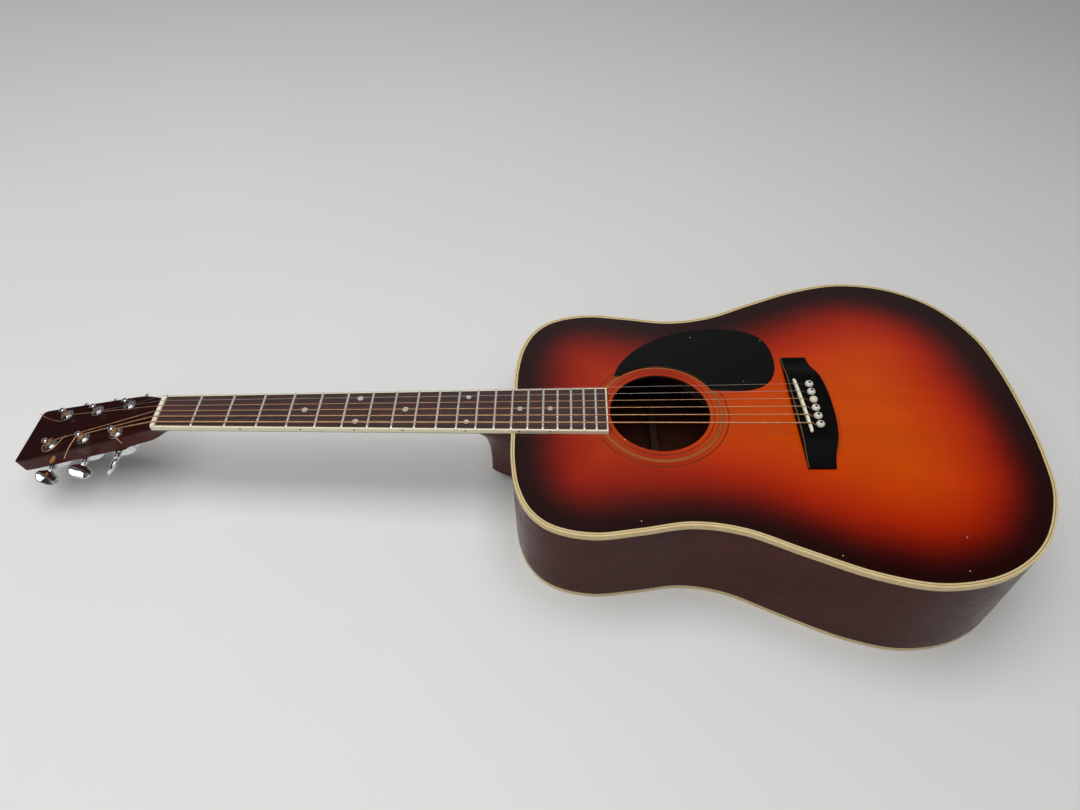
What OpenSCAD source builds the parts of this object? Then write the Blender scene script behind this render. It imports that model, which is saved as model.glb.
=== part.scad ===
// Six-string dreadnought guitar with a sunburst top, lying on its flat back.
// Old and worn: loose string ends, one odd bridge pin, a chip out of the head.
// Working frame of the modules: x runs from the nut towards the tail on the
// centre line, y towards the treble side, z out of the top, and z = 0 is the
// outer face of the top. lay_down() turns that frame so that the tapered body
// rests on its back at z = 0, with the origin in the middle of the back.

/* [Scale and neck] */
// String length from the nut to the nominal saddle line
scale_len = 645; // [640:1:650]
// Number of frets
fret_n = 20; // [18:1:20]
// Width of the fretboard at the nut
nut_w = 42; // [41:0.5:44]
// Width of the fretboard at its body end
end_w = 57.5; // [56:0.5:59]
// Thickness of the fretboard on the centre line
board_t = 6; // [5.5:0.5:6.5]
// Radius of the fretboard's cambered face
board_r = 400; // [300:10:500]
// Height of a fret's crown over the board
fret_h = 1; // [0.8:0.1:1.2]
// Depth of the neck under the fretboard at the nut
neck_d0 = 13.5; // [13:0.5:15]
// Depth of the neck under the fretboard next to the heel
neck_d1 = 15.5; // [15:0.5:18]

/* [Headstock] */
// Length of the headstock from the back of the nut
head_len = 155; // [152:1:158]
// Angle at which the headstock leans back
head_ang = 12.7; // [12:0.1:14]
// Thickness of the headstock's wood, without its veneer
head_t = 15; // [14:0.5:16]
// Thickness of the headstock's dark veneer
veneer_t = 2; // [1.5:0.5:2]

/* [Body] */
// Depth of the body at the neck joint
depth_neck = 109.5; // [105:0.5:112]
// Angle between the top and the back
taper = 2.5; // [2:0.1:2.8]
// Thickness of the top plate
top_t = 2.8; // [2.6:0.1:3.2]
// Thickness of the back plate
back_t = 2.6; // [2.4:0.1:3]
// Thickness of the bent sides
side_t = 2.5; // [2.3:0.1:2.8]
// Radius of the soundhole
hole_r = 50; // [48:0.5:51]
// Height of the cream binding around the top
bind_h = 6.5; // [5:0.5:7]
// Height of the cream binding around the back
back_bind_h = 5.5; // [4:0.5:6]

/* [Bridge and strings] */
// Half of the bridge's length
bridge_hl = 72; // [71:0.5:74]
// Height of the bridge at its middle
bridge_h = 9.5; // [9:0.5:10]
// Height of the saddle's crest over the top
saddle_z = 13; // [12.6:0.1:13.5]
// Distance between neighbouring strings at the bridge pins
pin_gap = 10.5; // [10.2:0.1:10.7]
// Distance between neighbouring strings at the nut
nut_gap = 7.1; // [6.9:0.1:7.2]

/* [Hidden] */
$fn = 48;

// ---- the laid-down pose -------------------------------------------------
body_x0 = 357.5;      // face of the body at the neck joint, under fret 14
mid_x = 611.5;        // middle of the body's length
tail_x = 865.5;       // tail end of the body
mid_z = -(depth_neck + tan(taper) * (mid_x - body_x0));
off_x = -(mid_x * cos(taper) - mid_z * sin(taper));
off_z = -(mid_x * sin(taper) + mid_z * cos(taper));
module lay_down() translate([off_x, 0, off_z]) rotate([0, -taper, 0]) children();
module stand_up() rotate([0, taper, 0]) translate([-off_x, 0, -off_z]) children();
// everything between two heights over the back, in the working frame
module above_back(h0, h1) stand_up()
    translate([-420, -260, h0]) cube([760, 520, h1 - h0]);

// ---- body outline ---------------------------------------------------------
// half outline from the neck joint round the upper bout, waist and lower bout
half_ctl = [[357.5, 0], [357.5, 30], [358.5, 60], [364, 92], [377, 119],
    [400, 137], [437, 144.5], [480, 139.5], [525, 133], [570, 140],
    [620, 161.5], [675, 183.5], [728, 193.5], [782, 183.5], [826, 153],
    [854, 105], [863.3, 55], [865.5, 0]];
function cr(a, b, c, d, t) = 0.5 * ((2 * b) + (c - a) * t
    + (2 * a - 5 * b + 4 * c - d) * t * t + (3 * b - a - 3 * c + d) * t * t * t);
hc_n = len(half_ctl);
hc_ext = concat([[half_ctl[1][0], -half_ctl[1][1]]], half_ctl,
    [[half_ctl[hc_n - 2][0], -half_ctl[hc_n - 2][1]]]);
seg_n = 5;
half_pts = [for (i = [0:hc_n - 2]) for (k = [0:seg_n - 1])
    cr(hc_ext[i], hc_ext[i + 1], hc_ext[i + 2], hc_ext[i + 3], k / seg_n)];
body_pts = concat(half_pts, [[tail_x, 0]],
    [for (i = [len(half_pts) - 1:-1:1]) [half_pts[i][0], -half_pts[i][1]]]);
bn = len(body_pts);
function unit(v) = v / norm(v);
function out_n(i) = let (t = unit(body_pts[(i + 1) % bn] - body_pts[(i + bn - 1) % bn]))
    [-t[1], t[0]];
// the outline moved inwards by d
function inset(d) = [for (i = [0:bn - 1]) body_pts[i] - d * out_n(i)];
module slab(d, z0, z1) translate([0, 0, z0]) linear_extrude(z1 - z0) polygon(inset(d));
module wall(d0, d1, z0, z1) translate([0, 0, z0]) linear_extrude(z1 - z0)
    difference() { polygon(inset(d0)); polygon(inset(d1)); }

bind_w = 1.8;         // binding, then a dark line, then an inner cream strip
line_w = 0.5;
strip_w = 1.7;
purf_d = bind_w + line_w + strip_w;
purf_z = 1.4;
lin_w = 5.5;          // linings glued in the corners
hole_x = 506;
tenon_l = 19;
heel_x = body_x0 - 0.08;
module tenon() translate([body_x0, 0, -82]) linear_extrude(82)
    polygon([[-0.4, -10], [tenon_l, -13], [tenon_l, 13], [-0.4, 10]]);

// ---- pins, saddle and bridge ------------------------------------------------
pin_x = 657;
pin_r = 2.5;
function pin_y(i) = (3.5 - i) * pin_gap;          // string i = 1 (treble) to 6
function saddle_x(y) = scale_len + 0.7 - 0.06 * y;
drop_x = 652.7;       // where a string goes down in front of its pin
module pin_holes(z0, z1) for (i = [1:6]) {
    translate([pin_x, pin_y(i), z0]) cylinder(r = pin_r, h = z1 - z0);
    translate([drop_x - 1.15, pin_y(i) - 1, z0]) cube([pin_x - drop_x, 2, z1 - z0]);
}

// ---- fretboard ---------------------------------------------------------------
board_end = 453.5;
nut_t = 5;
bb_w = 1.6;           // binding along the board
function fret_x(n) = scale_len * (1 - pow(2, -n / 12));
function board_w(x) = nut_w + (end_w - nut_w) * x / board_end;
function camber(y) = y * y / (2 * board_r);
module board_cyl(r) translate([-20, 0, board_t - board_r]) rotate([0, 90, 0])
    cylinder(r = r, h = 520, $fn = 180);
module board_plan(e, x0, x1, z0, z1) translate([0, 0, z0]) linear_extrude(z1 - z0)
    polygon([[x0, -board_w(x0) / 2 + e], [x1, -board_w(x1) / 2 + e],
        [x1, board_w(x1) / 2 - e], [x0, board_w(x0) / 2 - e]]);
// fret, distance from the centre line, radius of the dot
face_marks = [[5, 0, 3], [7, -15.3, 3], [7, 15.3, 3], [9, 0, 3], [12, -16.3, 2.6], [12, 16.3, 2.6],
    [15, 0, 2.6], [17, 0, 2.6]];
side_marks = [3, 5, 7, 9, 12, 15, 17];
function mark_x(n) = (fret_x(n) + fret_x(n - 1)) / 2;

// ---- headstock frame -----------------------------------------------------------
// local x runs back from the nut (so the tip is at -head_len), z is off the face
head_o = [-nut_t, 0, 2];
module head_frame() translate(head_o) rotate([0, -head_ang, 0]) children();
function head_pt(s, y, o) = head_o + [-s * cos(head_ang) - o * sin(head_ang), y,
    -s * sin(head_ang) + o * cos(head_ang)];
head_treble = [[0, 21], [6, 22.3], [14, 25.2], [22, 27.6], [30, 29], [45, 29.8],
    [80, 30.5], [120, 31.5]];
// the bass side flares a little more towards the tip
head_bass = [[0, 21], [6, 21.2], [14, 21.7], [23, 23], [33, 24.9], [45, 26.8],
    [60, 28.5], [80, 30.1], [100, 31.7], [122, 33.6], [140, 34.9]];
head_poly = concat([for (p = head_treble) [-p[0], p[1]]],
    [[-head_len + 4, 32], [-head_len + 1.6, 30.4], [-head_len, 26.5],
     [-head_len - 1.1, -33.9], [-head_len - 0.6, -34.9], [-head_len + 1, -35.3]],
    [for (i = [len(head_bass) - 1:-1:0]) [-head_bass[i][0], -head_bass[i][1]]]);
// tuners 1 to 3 on the treble side and 6 to 4 on the bass side, from the nut
post_s = [42, 81, 120, 120, 81, 42];
post_y = [18.8, 18.8, 20.6, -20.6, -18.8, -18.8];
post_r = 3;
post_clear = 0.05;
sleeve_r = 4.5;
washer_r = 7;
worm_dx = 8;
worm_z = -20.5;
// the machines' inner parts are laid out about the shaft
mach_z = worm_z + 23;
button_y = 16.4;
house_z = -(head_t + veneer_t);
module at_tuner(i) head_frame() translate([-post_s[i - 1], post_y[i - 1], 0])
    mirror([0, post_y[i - 1] < 0 ? 1 : 0, 0]) children();
// how far each thumb button is turned about its shaft at rest
button_ang = [-33, -42, -36, 53, 42, -37];

// ---- strings ---------------------------------------------------------------------
string_d = [0.30, 0.42, 0.62, 0.82, 1.08, 1.34];
string_col = ["silver", "silver", "#b08a5a", "#b08a5a", "#b08a5a", "#b08a5a"];
nut_shift = 1.2;      // the slots sit a little towards the treble side
function nut_y(i) = (3.5 - i) * nut_gap + nut_shift;
nut_z = 7.9;
waist_r = 2.2;
// where each winding ends, in turns counted from where the string comes in
turns = [2.5, 2.76, 2.667, 1.83, 2.18, 2.38];
function coil_r(i) = waist_r + 0.35 + string_d[i - 1] / 2;
function lean(i) = let (b = post_y[i - 1] < 0 ? 1 : -1)
    atan(b * (nut_y(i) - post_y[i - 1] - b * coil_r(i)) / post_s[i - 1]);
function coil(i) = let (b = post_y[i - 1] < 0 ? 1 : -1, r = coil_r(i), d = string_d[i - 1],
        z0 = 2.75 + d / 2, z1 = 7.65 - d / 2, n = 27)
    [for (k = [n:-1:0]) let (a = lean(i) * (1 - k / n) + 360 * turns[i - 1] * k / n)
        head_pt(post_s[i - 1] + r * sin(a), post_y[i - 1] + b * r * cos(a),
            z0 + min(z1 - z0, turns[i - 1] * (d + 0.12)) * k / n)];
// loose ends past the windings, as [along the head, across it, off its face]
tails = [
    [[36.2, 22.6, 5.2], [39.4, 21.7, 4.4]],
    [[79.6, 9.4, 4.6], [78.8, 13, 4.7], [78.3, 16.2, 4.6]],
    [[156.2, 27.8, 2], [151.3, 24.4, 1.3], [146.4, 21.4, 0.9], [139.6, 18, 0.9], [131.3, 14.3, 0.9],
     [123.7, 12, 1], [117.9, 11.4, 1.3], [113.2, 13, 2.4], [112.4, 16.2, 4.3], [114.3, 19.4, 5]],
    [[103, -13.2, 3], [107, -17.5, 1.9], [110.5, -22.3, 1.2], [112.9, -26.6, 1.2],
     [117.1, -29.4, 1.2], [122.5, -29, 1.2], [126.7, -25.6, 1.2], [128.1, -20.8, 1.2],
     [126.3, -15.6, 1.3], [122.4, -12.8, 1.8], [118.6, -13.4, 3], [117.2, -15.8, 4.3]],
    [[89.6, -44.5, 1.8], [90.2, -37, 2.4], [89.4, -29.5, 3.4], [87, -24, 4.6],
     [85.3, -20.6, 5.4]],
    [[24.5, -37.4, 3.6], [30.5, -32.4, 4.8], [36.4, -27.6, 6], [41, -23.8, 6.6]]];
function tail_pts(i) = [for (p = tails[i - 1]) head_pt(p[0], p[1], p[2])];
function run_pts(i) = let (d = string_d[i - 1], yn = nut_y(i), ys = pin_y(i) * 0.985,
        yp = pin_y(i), r = d / 2, zn = nut_z - camber(yn) + r, zs = saddle_z - camber(ys) + r + 0.05,
        xs = saddle_x(ys))
    [[-nut_t - 0.5, yn, zn - 0.35], [-nut_t + 1, yn, zn - 0.1], [0.6, yn, zn],
     [160, yn + (ys - yn) * 160 / xs, zn + (zs - zn) * 160 / xs],
     [330, yn + (ys - yn) * 330 / xs, zn + (zs - zn) * 330 / xs],
     [500, yn + (ys - yn) * 500 / xs, zn + (zs - zn) * 500 / xs],
     [xs - 1.6, ys, zs], [xs + 0.4, ys, zs + 0.06], [xs + 1.9, ys, zs - 0.1],
     [drop_x - 1.9, yp, bridge_h + r + 1.2], [drop_x - 0.6, yp, bridge_h + r - 0.05],
     [drop_x - 0.05, yp, bridge_h - 0.9], [drop_x, yp, 6], [drop_x, yp, -2], [drop_x - 0.6, yp, -7]];
function string_path(i) = concat(tail_pts(i), coil(i), run_pts(i));
function tangents(p) = let (n = len(p)) [for (i = [0:n - 1])
    unit(i == 0 ? p[1] - p[0] : i == n - 1 ? p[n - 1] - p[n - 2]
        : unit(p[i + 1] - p[i]) + unit(p[i] - p[i - 1]))];
function side_of(t) = abs(t[2]) < 0.9 ? unit(cross(t, [0, 0, 1])) : unit(cross(t, [0, 1, 0]));
function frames(t) = [for (i = 0, n = side_of(t[0]); i < len(t);
    i = i + 1, n = i < len(t) ? unit(n - (n * t[i]) * t[i]) : n) n];
// a tube of m sides swept along a list of points
module tube(p, r, m = 8) {
    t = tangents(p);
    f = frames(t);
    n = len(p);
    pts = [for (i = [0:n - 1]) let (b = cross(t[i], f[i])) for (k = [0:m - 1])
        p[i] + r * (cos(360 * k / m) * f[i] + sin(360 * k / m) * b)];
    polyhedron(points = pts, faces = concat(
        [[for (k = [0:m - 1]) k]],
        [for (i = [0:n - 2]) for (k = [0:m - 1])
            [i * m + k, (i + 1) * m + k, (i + 1) * m + (k + 1) % m]],
        [for (i = [0:n - 2]) for (k = [0:m - 1])
            [i * m + k, (i + 1) * m + (k + 1) % m, i * m + (k + 1) % m]],
        [[for (k = [m - 1:-1:0]) (n - 1) * m + k]]));
}
module string(i) color(string_col[i - 1]) lay_down() {
    tube(string_path(i), string_d[i - 1] / 2);
    // brass ball that holds the string under the bridge plate
    translate([drop_x - 0.8, pin_y(i) - 1.6, -7.3]) rotate([-90, 0, 0])
        cylinder(r = 1.9, h = 3.2);
}

// ---- lofts for the neck -----------------------------------------------------------
module loft(rings) {
    m = len(rings[0]);
    n = len(rings);
    polyhedron(points = [for (r = rings) for (q = r) q], faces = concat(
        [[for (k = [0:m - 1]) k]],
        [for (i = [0:n - 2]) for (k = [0:m - 1])
            [i * m + k, (i + 1) * m + k, (i + 1) * m + (k + 1) % m]],
        [for (i = [0:n - 2]) for (k = [0:m - 1])
            [i * m + k, (i + 1) * m + (k + 1) % m, i * m + (k + 1) % m]],
        [[for (k = [m - 1:-1:0]) (n - 1) * m + k]]));
}
function pw(v, e) = v == 0 ? 0 : sign(v) * pow(abs(v), e);
function d_ring(x, w, d) = [for (k = [0:18]) let (a = 10 * k)
    [x, -w * pw(cos(a), 1.3), -d * pw(sin(a), 1.5)]];
function neck_depth(x) = neck_d0 + (neck_d1 - neck_d0) * max(0, x) / 300;
neck_ring_x = [-5, 2, 40, 100, 160, 220, 280, 330, heel_x];
// heel in plan, one ring for each level: [z, front, half width, fullness]
heel_lv = [[-1, 276, 25.8, 0.6], [-5, 282, 25.5, 0.6], [-9, 288.5, 25.1, 0.6],
    [-13, 296, 24.8, 0.6], [-16, 302, 24.5, 0.6], [-19, 308, 24.2, 0.6], [-22, 313.5, 23.9, 0.6],
    [-27, 320.5, 23.3, 0.6], [-33, 325.5, 22.6, 0.61], [-40, 328.6, 21.6, 0.62],
    [-50, 330.8, 20, 0.63], [-64, 331.6, 18, 0.64], [-80, 331.4, 16, 0.65], [-93, 330.8, 14.4, 0.66]];
function heel_ring(l) = [for (k = [0:20]) let (t = k / 10 - 1)
    [l[1] + (heel_x - l[1]) * pow(abs(t), 1 / l[3]), l[2] * t, l[0]]];

// =====================================================================================
module top_plate() color("#b5480f") lay_down() difference() {
    slab(bind_w, -top_t, 0);
    wall(bind_w, purf_d, -purf_z, 1);
    translate([hole_x, 0, -10]) cylinder(r = hole_r, h = 20, $fn = 96);
    rosette_ring(53.9, 55.1, -1);
    rosette_ring(59.2, 63.8, -1);
    rosette_ring(67.7, 69, -1);
    pin_holes(-10, 1);
    tenon();
}
module rosette_ring(r0, r1, z0, z1 = 0.5) translate([hole_x, 0, z0]) difference() {
    cylinder(r = r1, h = z1 - z0, $fn = 96);
    translate([0, 0, -1]) cylinder(r = r0, h = z1 - z0 + 2, $fn = 96);
}
module back_plate() color("#4a2418") lay_down() intersection() {
    slab(bind_w, -160, -60);
    above_back(0, back_t);
}
module side_half(s) lay_down() difference() {
    intersection() {
        union() {
            wall(0, side_t, -160, -bind_h);
            wall(bind_w, side_t, -bind_h - 1, -top_t);
        }
        above_back(back_t, 300);
        translate([200, s > 0 ? 0 : -300, -200]) cube([800, 300, 300]);
    }
    intersection() { wall(-1, bind_w, -160, -60); above_back(0, back_bind_h); }
    tenon();
    translate([tail_x - 30, 0, pin_z]) rotate([0, 90, 0]) cylinder(r = 4, h = 40);
}
module side_bass() color("#4d2820") side_half(-1);
module side_treble() color("#4d2820") side_half(1);
module top_binding() color("#e6dcb8") lay_down() difference() {
    wall(0, bind_w, -bind_h, 0);
    tenon();
}
module purfling_line() color("#5a3520") lay_down() difference() {
    wall(bind_w, bind_w + line_w, -purf_z, 0);
    tenon();
}
module purfling_strip() color("#e6dcb8") lay_down() difference() {
    wall(bind_w + line_w, purf_d, -purf_z, 0);
    tenon();
}
module back_binding() color("#e6dcb8") lay_down() intersection() {
    wall(0, bind_w, -160, -60);
    above_back(0, back_bind_h);
}
module rosette_lines() color("#2a1510") lay_down() {
    rosette_ring(53.9, 55.1, -1, 0);
    rosette_ring(59.2, 60, -1, 0);
    rosette_ring(63, 63.8, -1, 0);
    rosette_ring(67.7, 69, -1, 0);
}
module rosette_band() color("#c48a50") lay_down() rosette_ring(60, 63, -1, 0);

// teardrop pickguard: free edge through control points, then along the rosette
guard_ctl = [[561, 28.5], [586, 27.2], [604, 29.2], [618, 36.2], [627.5, 48.5],
    [631.5, 67], [629.5, 89], [620.5, 105.5], [603.5, 115], [580.5, 118.7],
    [556.5, 117.4], [532.5, 112.5], [508, 102.3], [484, 84.5], [469, 66], [462, 49]];
guard_n = len(guard_ctl);
guard_pts = concat(
    [for (i = [0:guard_n - 2]) for (k = [0:3])
        cr(guard_ctl[max(0, i - 1)], guard_ctl[i], guard_ctl[i + 1],
            guard_ctl[min(guard_n - 1, i + 2)], k / 4)],
    [guard_ctl[guard_n - 1]],
    [for (a = [127:-6:31]) [hole_x + 62 * cos(a), 62 * sin(a)]]);
guard_t = 1.3;
module pickguard() color("#161616") lay_down() linear_extrude(guard_t) polygon(guard_pts);

module neck_block() color("#7a5236") lay_down() difference() {
    intersection() {
        translate([340, -36, -170]) cube([62, 72, 170 - top_t]);
        slab(side_t, -170, -top_t);
        above_back(back_t, 300);
    }
    tenon();
    translate([372, 0, -9]) rotate([0, 90, 0]) cylinder(r = 5, h = 40);
}
pin_z = -64;          // level of the end pin
module tail_block() color("#7a5236") lay_down() difference() {
    intersection() {
        translate([845, -32, -170]) cube([30, 64, 170 - top_t]);
        slab(side_t, -170, -top_t);
        above_back(back_t, 300);
    }
    translate([tail_x - 30, 0, pin_z]) rotate([0, 90, 0]) cylinder(r = 4, h = 40);
}
module blocks_gap() {
    translate([340, -36, -170]) cube([62, 72, 170]);
    translate([845, -32, -170]) cube([30, 64, 170]);
}
module top_lining() color("#a9805a") lay_down() difference() {
    wall(side_t, side_t + lin_w, -top_t - 12, -top_t);
    blocks_gap();
}
module back_lining() color("#a9805a") lay_down() difference() {
    intersection() {
        wall(side_t, side_t + lin_w, -160, -60);
        above_back(back_t, back_t + 12);
    }
    blocks_gap();
}

// ---- bracing under the top -----------------------------------------------------------
brace_in = side_t + lin_w + 0.3;
module bar(c, ang, l0, l1, w, h, e = 35) translate([c[0], c[1], -top_t]) rotate([0, 0, ang])
    translate([0, w / 2, 0]) rotate([90, 0, 0]) linear_extrude(w)
    polygon([[-l0, 0], [l1, 0], [l1, -3], [l1 - e, -h], [-l0 + e, -h], [-l0, -3]]);
module x_leg(s, w = 8) bar([580, 0], s * 50, 172, 239, w, 14, 60);
module x_braces() color("#d9b98c") lay_down() intersection() {
    union() {
        difference() { x_leg(1); intersection() { x_leg(-1, 8.02); translate([500, -80, -top_t - 7]) cube([160, 160, 10]); } }
        difference() { x_leg(-1); intersection() { x_leg(1, 8.02); translate([500, -80, -30]) cube([160, 160, 30 - top_t - 7]); } }
    }
    slab(brace_in, -40, 0);
}
module upper_brace() color("#d9b98c") lay_down() intersection() {
    bar([438, 0], 90, 136, 136, 9, 15, 30);
    slab(brace_in, -40, 0);
}
module tone_bars() color("#d9b98c") lay_down() intersection() {
    union() {
        bar([730, -2], 108, 84, 84, 7, 10, 30);
        bar([790, -8], 106, 74, 74, 7, 9, 30);
    }
    slab(brace_in, -40, 0);
}
module finger_braces() color("#d9b98c") lay_down() intersection() {
    for (s = [-1, 1]) {
        bar([612, s * 103], s * 103, 40, 38, 6, 8, 20);
        bar([664, s * 145], s * 98, 26, 24, 6, 8, 16);
    }
    slab(brace_in, -40, 0);
}
module soundhole_braces() color("#d9b98c") lay_down()
    for (s = [-1, 1]) bar([482, s * 62], 0, 36, 32, 6, 6, 10);
module bridge_plate() color("#cfae86") lay_down() difference() {
    translate([0, 0, -top_t - 2.5]) linear_extrude(2.5)
        polygon([[641, -60], [686, -84], [686, 84], [641, 60]]);
    pin_holes(-12, 0);
}

// ---- bracing on the back ---------------------------------------------------------------
back_x = [410, 512, 640, 758];
back_h = [15, 15, 12, 12];
module back_bar(k, g = 0) intersection() {
    above_back(back_t, back_t + back_h[k]);
    translate([back_x[k] - 4 - g, -220, -200]) cube([8 + 2 * g, 440, 190]);
}
module back_braces() color("#d9b98c") lay_down() intersection() {
    union() for (k = [0:3]) back_bar(k);
    slab(brace_in, -170, -60);
}
module back_strip() color("#cfae86") lay_down() difference() {
    intersection() {
        above_back(back_t, back_t + 2);
        translate([402, -7.5, -200]) cube([443, 15, 190]);
    }
    for (k = [0:3]) back_bar(k);
}

// ---- bridge, saddle and pins --------------------------------------------------------------
bridge_half = [[664.2, bridge_hl], [665, 66], [666.2, 60], [668, 53], [670.4, 45],
    [672.5, 36], [674.2, 25], [675.2, 12], [675.4, 0]];
bridge_pts = concat([[638.4, -bridge_hl], [638.4, bridge_hl]], bridge_half,
    [for (i = [len(bridge_half) - 2:-1:0]) [bridge_half[i][0], -bridge_half[i][1]]]);
wing_h = 3.4;
bridge_side = concat([[-80, -1], [80, -1], [80, wing_h], [bridge_hl, wing_h], [66, wing_h + 0.3], [60, wing_h + 1.1],
    [54, wing_h + 2.6], [49, wing_h + 4.3], [45, bridge_h - 0.8], [41, bridge_h - 0.1], [37, bridge_h]],
    [[-37, bridge_h], [-41, bridge_h - 0.1], [-45, bridge_h - 0.8], [-49, wing_h + 4.3],
    [-54, wing_h + 2.6], [-60, wing_h + 1.1], [-66, wing_h + 0.3], [-bridge_hl, wing_h], [-80, wing_h]]);
module saddle_slot(c, z0, z1, l) translate([scale_len + 0.7, 0, 0]) rotate([0, 0, 3.43])
    translate([-1.5 - c, -l / 2 - c, z0]) cube([3 + 2 * c, l + 2 * c, z1 - z0]);
module bridge() color("#1a1817") lay_down() difference() {
    intersection() {
        linear_extrude(bridge_h) polygon(bridge_pts);
        translate([600, 0, 0]) rotate([90, 0, 90]) linear_extrude(120) polygon(bridge_side);
    }
    saddle_slot(0, 4.5, 20, 70);
    pin_holes(-1, 20);
    // bevel along the straight front edge
    translate([638.4, -80, bridge_h - 1.2]) rotate([0, -45, 0]) translate([-3, 0, 0]) cube([3, 160, 3]);
}
module saddle() color("#e8dcae") lay_down() intersection() {
    saddle_slot(0, 4.5, 14, 70);
    translate([600, 0, saddle_z - board_r]) rotate([0, 90, 0]) cylinder(r = board_r, h = 80, $fn = 180);
}
module pin_body() rotate_extrude($fn = 40)
    polygon([[0, -13], [1.6, -13], [2, -12], [pin_r - 0.05, -3], [pin_r - 0.05, bridge_h + 0.6],
        [3.7, bridge_h + 0.6], [4.05, bridge_h + 1.2], [4.1, bridge_h + 2], [3.9, bridge_h + 2.9],
        [3.3, bridge_h + 3.9], [2.3, bridge_h + 4.6], [1.1, bridge_h + 4.95], [0, bridge_h + 5]]);
module one_pin(i) translate([pin_x, pin_y(i), 0]) pin_body();
module bridge_pins() color("#efece2") lay_down() for (i = [1, 2, 4, 5, 6]) one_pin(i);
module bridge_pin_odd() color("#d8cc9e") lay_down() one_pin(3);
module end_pin() color("#e8e2cf") lay_down() translate([tail_x - 24, 0, pin_z]) rotate([0, 90, 0])
    rotate_extrude($fn = 40) polygon([[0, 0], [3, 0], [3.95, 3], [3.95, 24.05], [6.8, 24.05], [6.8, 25.4],
        [4.3, 26.6], [4.3, 29.4], [7, 31], [7, 33.4], [5.6, 35], [0, 35.4]]);

// ---- neck ------------------------------------------------------------------------------------
module tuner_holes(r, z0, z1) for (i = [1:6]) at_tuner(i)
    translate([0, 0, z0]) cylinder(r = r, h = z1 - z0);
module screw_spot(z) translate([11, -2, z]) children();
module neck() color("#4a251c") lay_down() difference() {
    union() {
        loft([for (x = neck_ring_x) d_ring(x, board_w(x) / 2, neck_depth(x))]);
        loft([for (l = heel_lv) heel_ring(l)]);
        tenon();
        head_frame() translate([0, 0, -veneer_t - head_t]) linear_extrude(head_t) polygon(head_poly);
        // the back of the neck swells into the head
        hull() {
            translate([9, 0, 0]) intersection() {
                rotate([0, 90, 0]) linear_extrude(1) polygon([for (q = d_ring(0, board_w(9) / 2 - 0.3, neck_d0 - 0.3)) [-q[2], q[1]]]);
                translate([-2, -30, -30]) cube([5, 60, 29]);
            }
            head_frame() translate([-26, -23.2, -veneer_t - head_t]) cube([1, 49.7, 8]);
            head_frame() translate([-6, -19, -veneer_t - 12]) cube([1, 38, 5]);
        }
    }
    // channel of the truss rod
    translate([8, -3.1, -10.5]) cube([356.5, 6.2, 10.6]);
    translate([363.9, 0, -9]) rotate([0, 90, 0]) cylinder(r = 5, h = 20);
    // level seat of the nut
    translate([-nut_t, -40, 0]) cube([20, 80, 5]);
    tuner_holes(sleeve_r, -30, 5);
    for (i = [1:6]) at_tuner(i) screw_spot(house_z - 1) cylinder(r = 1, h = 9);
    // chip of bare wood knocked out of the bass side near the tip
    head_frame() translate([-118, -33.3, -8.3]) rotate([0, -35.7, 0]) scale([6.4, 1.7, 1.5]) sphere(r = 1, $fn = 24);
}
module head_veneer() color("#1d0f0e") lay_down() difference() {
    head_frame() translate([0, 0, -veneer_t]) linear_extrude(veneer_t) polygon(head_poly);
    tuner_holes(sleeve_r, -5, 5);
    // its front end stands against the back of the nut
    translate([-nut_t, -40, -20]) cube([30, 80, 40]);
}
module tang(n, c) let (x = fret_x(n)) translate([x - 0.3 - c, -board_w(x) / 2 + bb_w, board_t - 2.6])
    cube([0.6 + 2 * c, board_w(x) - 2 * bb_w, 3.2]);
module fretboard() color("#3c211b") lay_down() difference() {
    intersection() {
        board_plan(bb_w, 0, board_end - bb_w, 0, board_t + 1);
        board_cyl(board_r);
    }
    for (n = [1:fret_n]) tang(n, 0);
    for (m = face_marks) translate([mark_x(m[0]), m[1], board_t - 2]) cylinder(r = m[2], h = 4, $fn = 32);
}
module board_binding() color("#e6dcb8") lay_down() difference() {
    intersection() {
        difference() {
            board_plan(0, 0, board_end, 0, board_t + 1);
            board_plan(bb_w, -1, board_end - bb_w, -1, board_t + 2);
        }
        board_cyl(board_r);
    }
    side_dot_cut();
}
module side_dot_cut() for (n = side_marks) translate([mark_x(n), -board_w(mark_x(n)) / 2 - 1, 3.2])
    rotate([-90, 0, 0]) cylinder(r = 1, h = 1.9, $fn = 24);
module side_dots() color("#1c1815") lay_down() intersection() {
    side_dot_cut();
    board_plan(0, 0, board_end, 0, board_t + 1);
}
module face_dots() color("#dcdcd6") lay_down() for (m = face_marks)
    translate([mark_x(m[0]), m[1], board_t - 2]) cylinder(r = m[2], h = 2 - camber(m[1]), $fn = 32);
module frets() color("#b9b9b0") lay_down() for (n = [1:fret_n]) let (x = fret_x(n)) union() {
    difference() {
        intersection() {
            translate([x - 1.2, -board_w(x) / 2 + 0.4, board_t - 2.4]) cube([2.4, board_w(x) - 0.8, 5]);
            board_cyl(board_r + fret_h);
        }
        board_cyl(board_r);
    }
    intersection() { tang(n, 0); board_cyl(board_r + 0.2); }
}
module nut() color("#ece3c6") lay_down() difference() {
    intersection() {
        translate([-nut_t, -nut_w / 2, 0]) cube([nut_t, nut_w, 12]);
        translate([-20, 0, nut_z + 0.5 - board_r]) rotate([0, 90, 0]) cylinder(r = board_r, h = 40, $fn = 180);
    }
    for (i = [1:6]) let (d = string_d[i - 1], z = nut_z - camber(nut_y(i)))
        translate([-nut_t - 1, nut_y(i) - d / 2 - 0.15, z - 0.42]) cube([nut_t + 2, d + 0.3, 4]);
}
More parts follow.
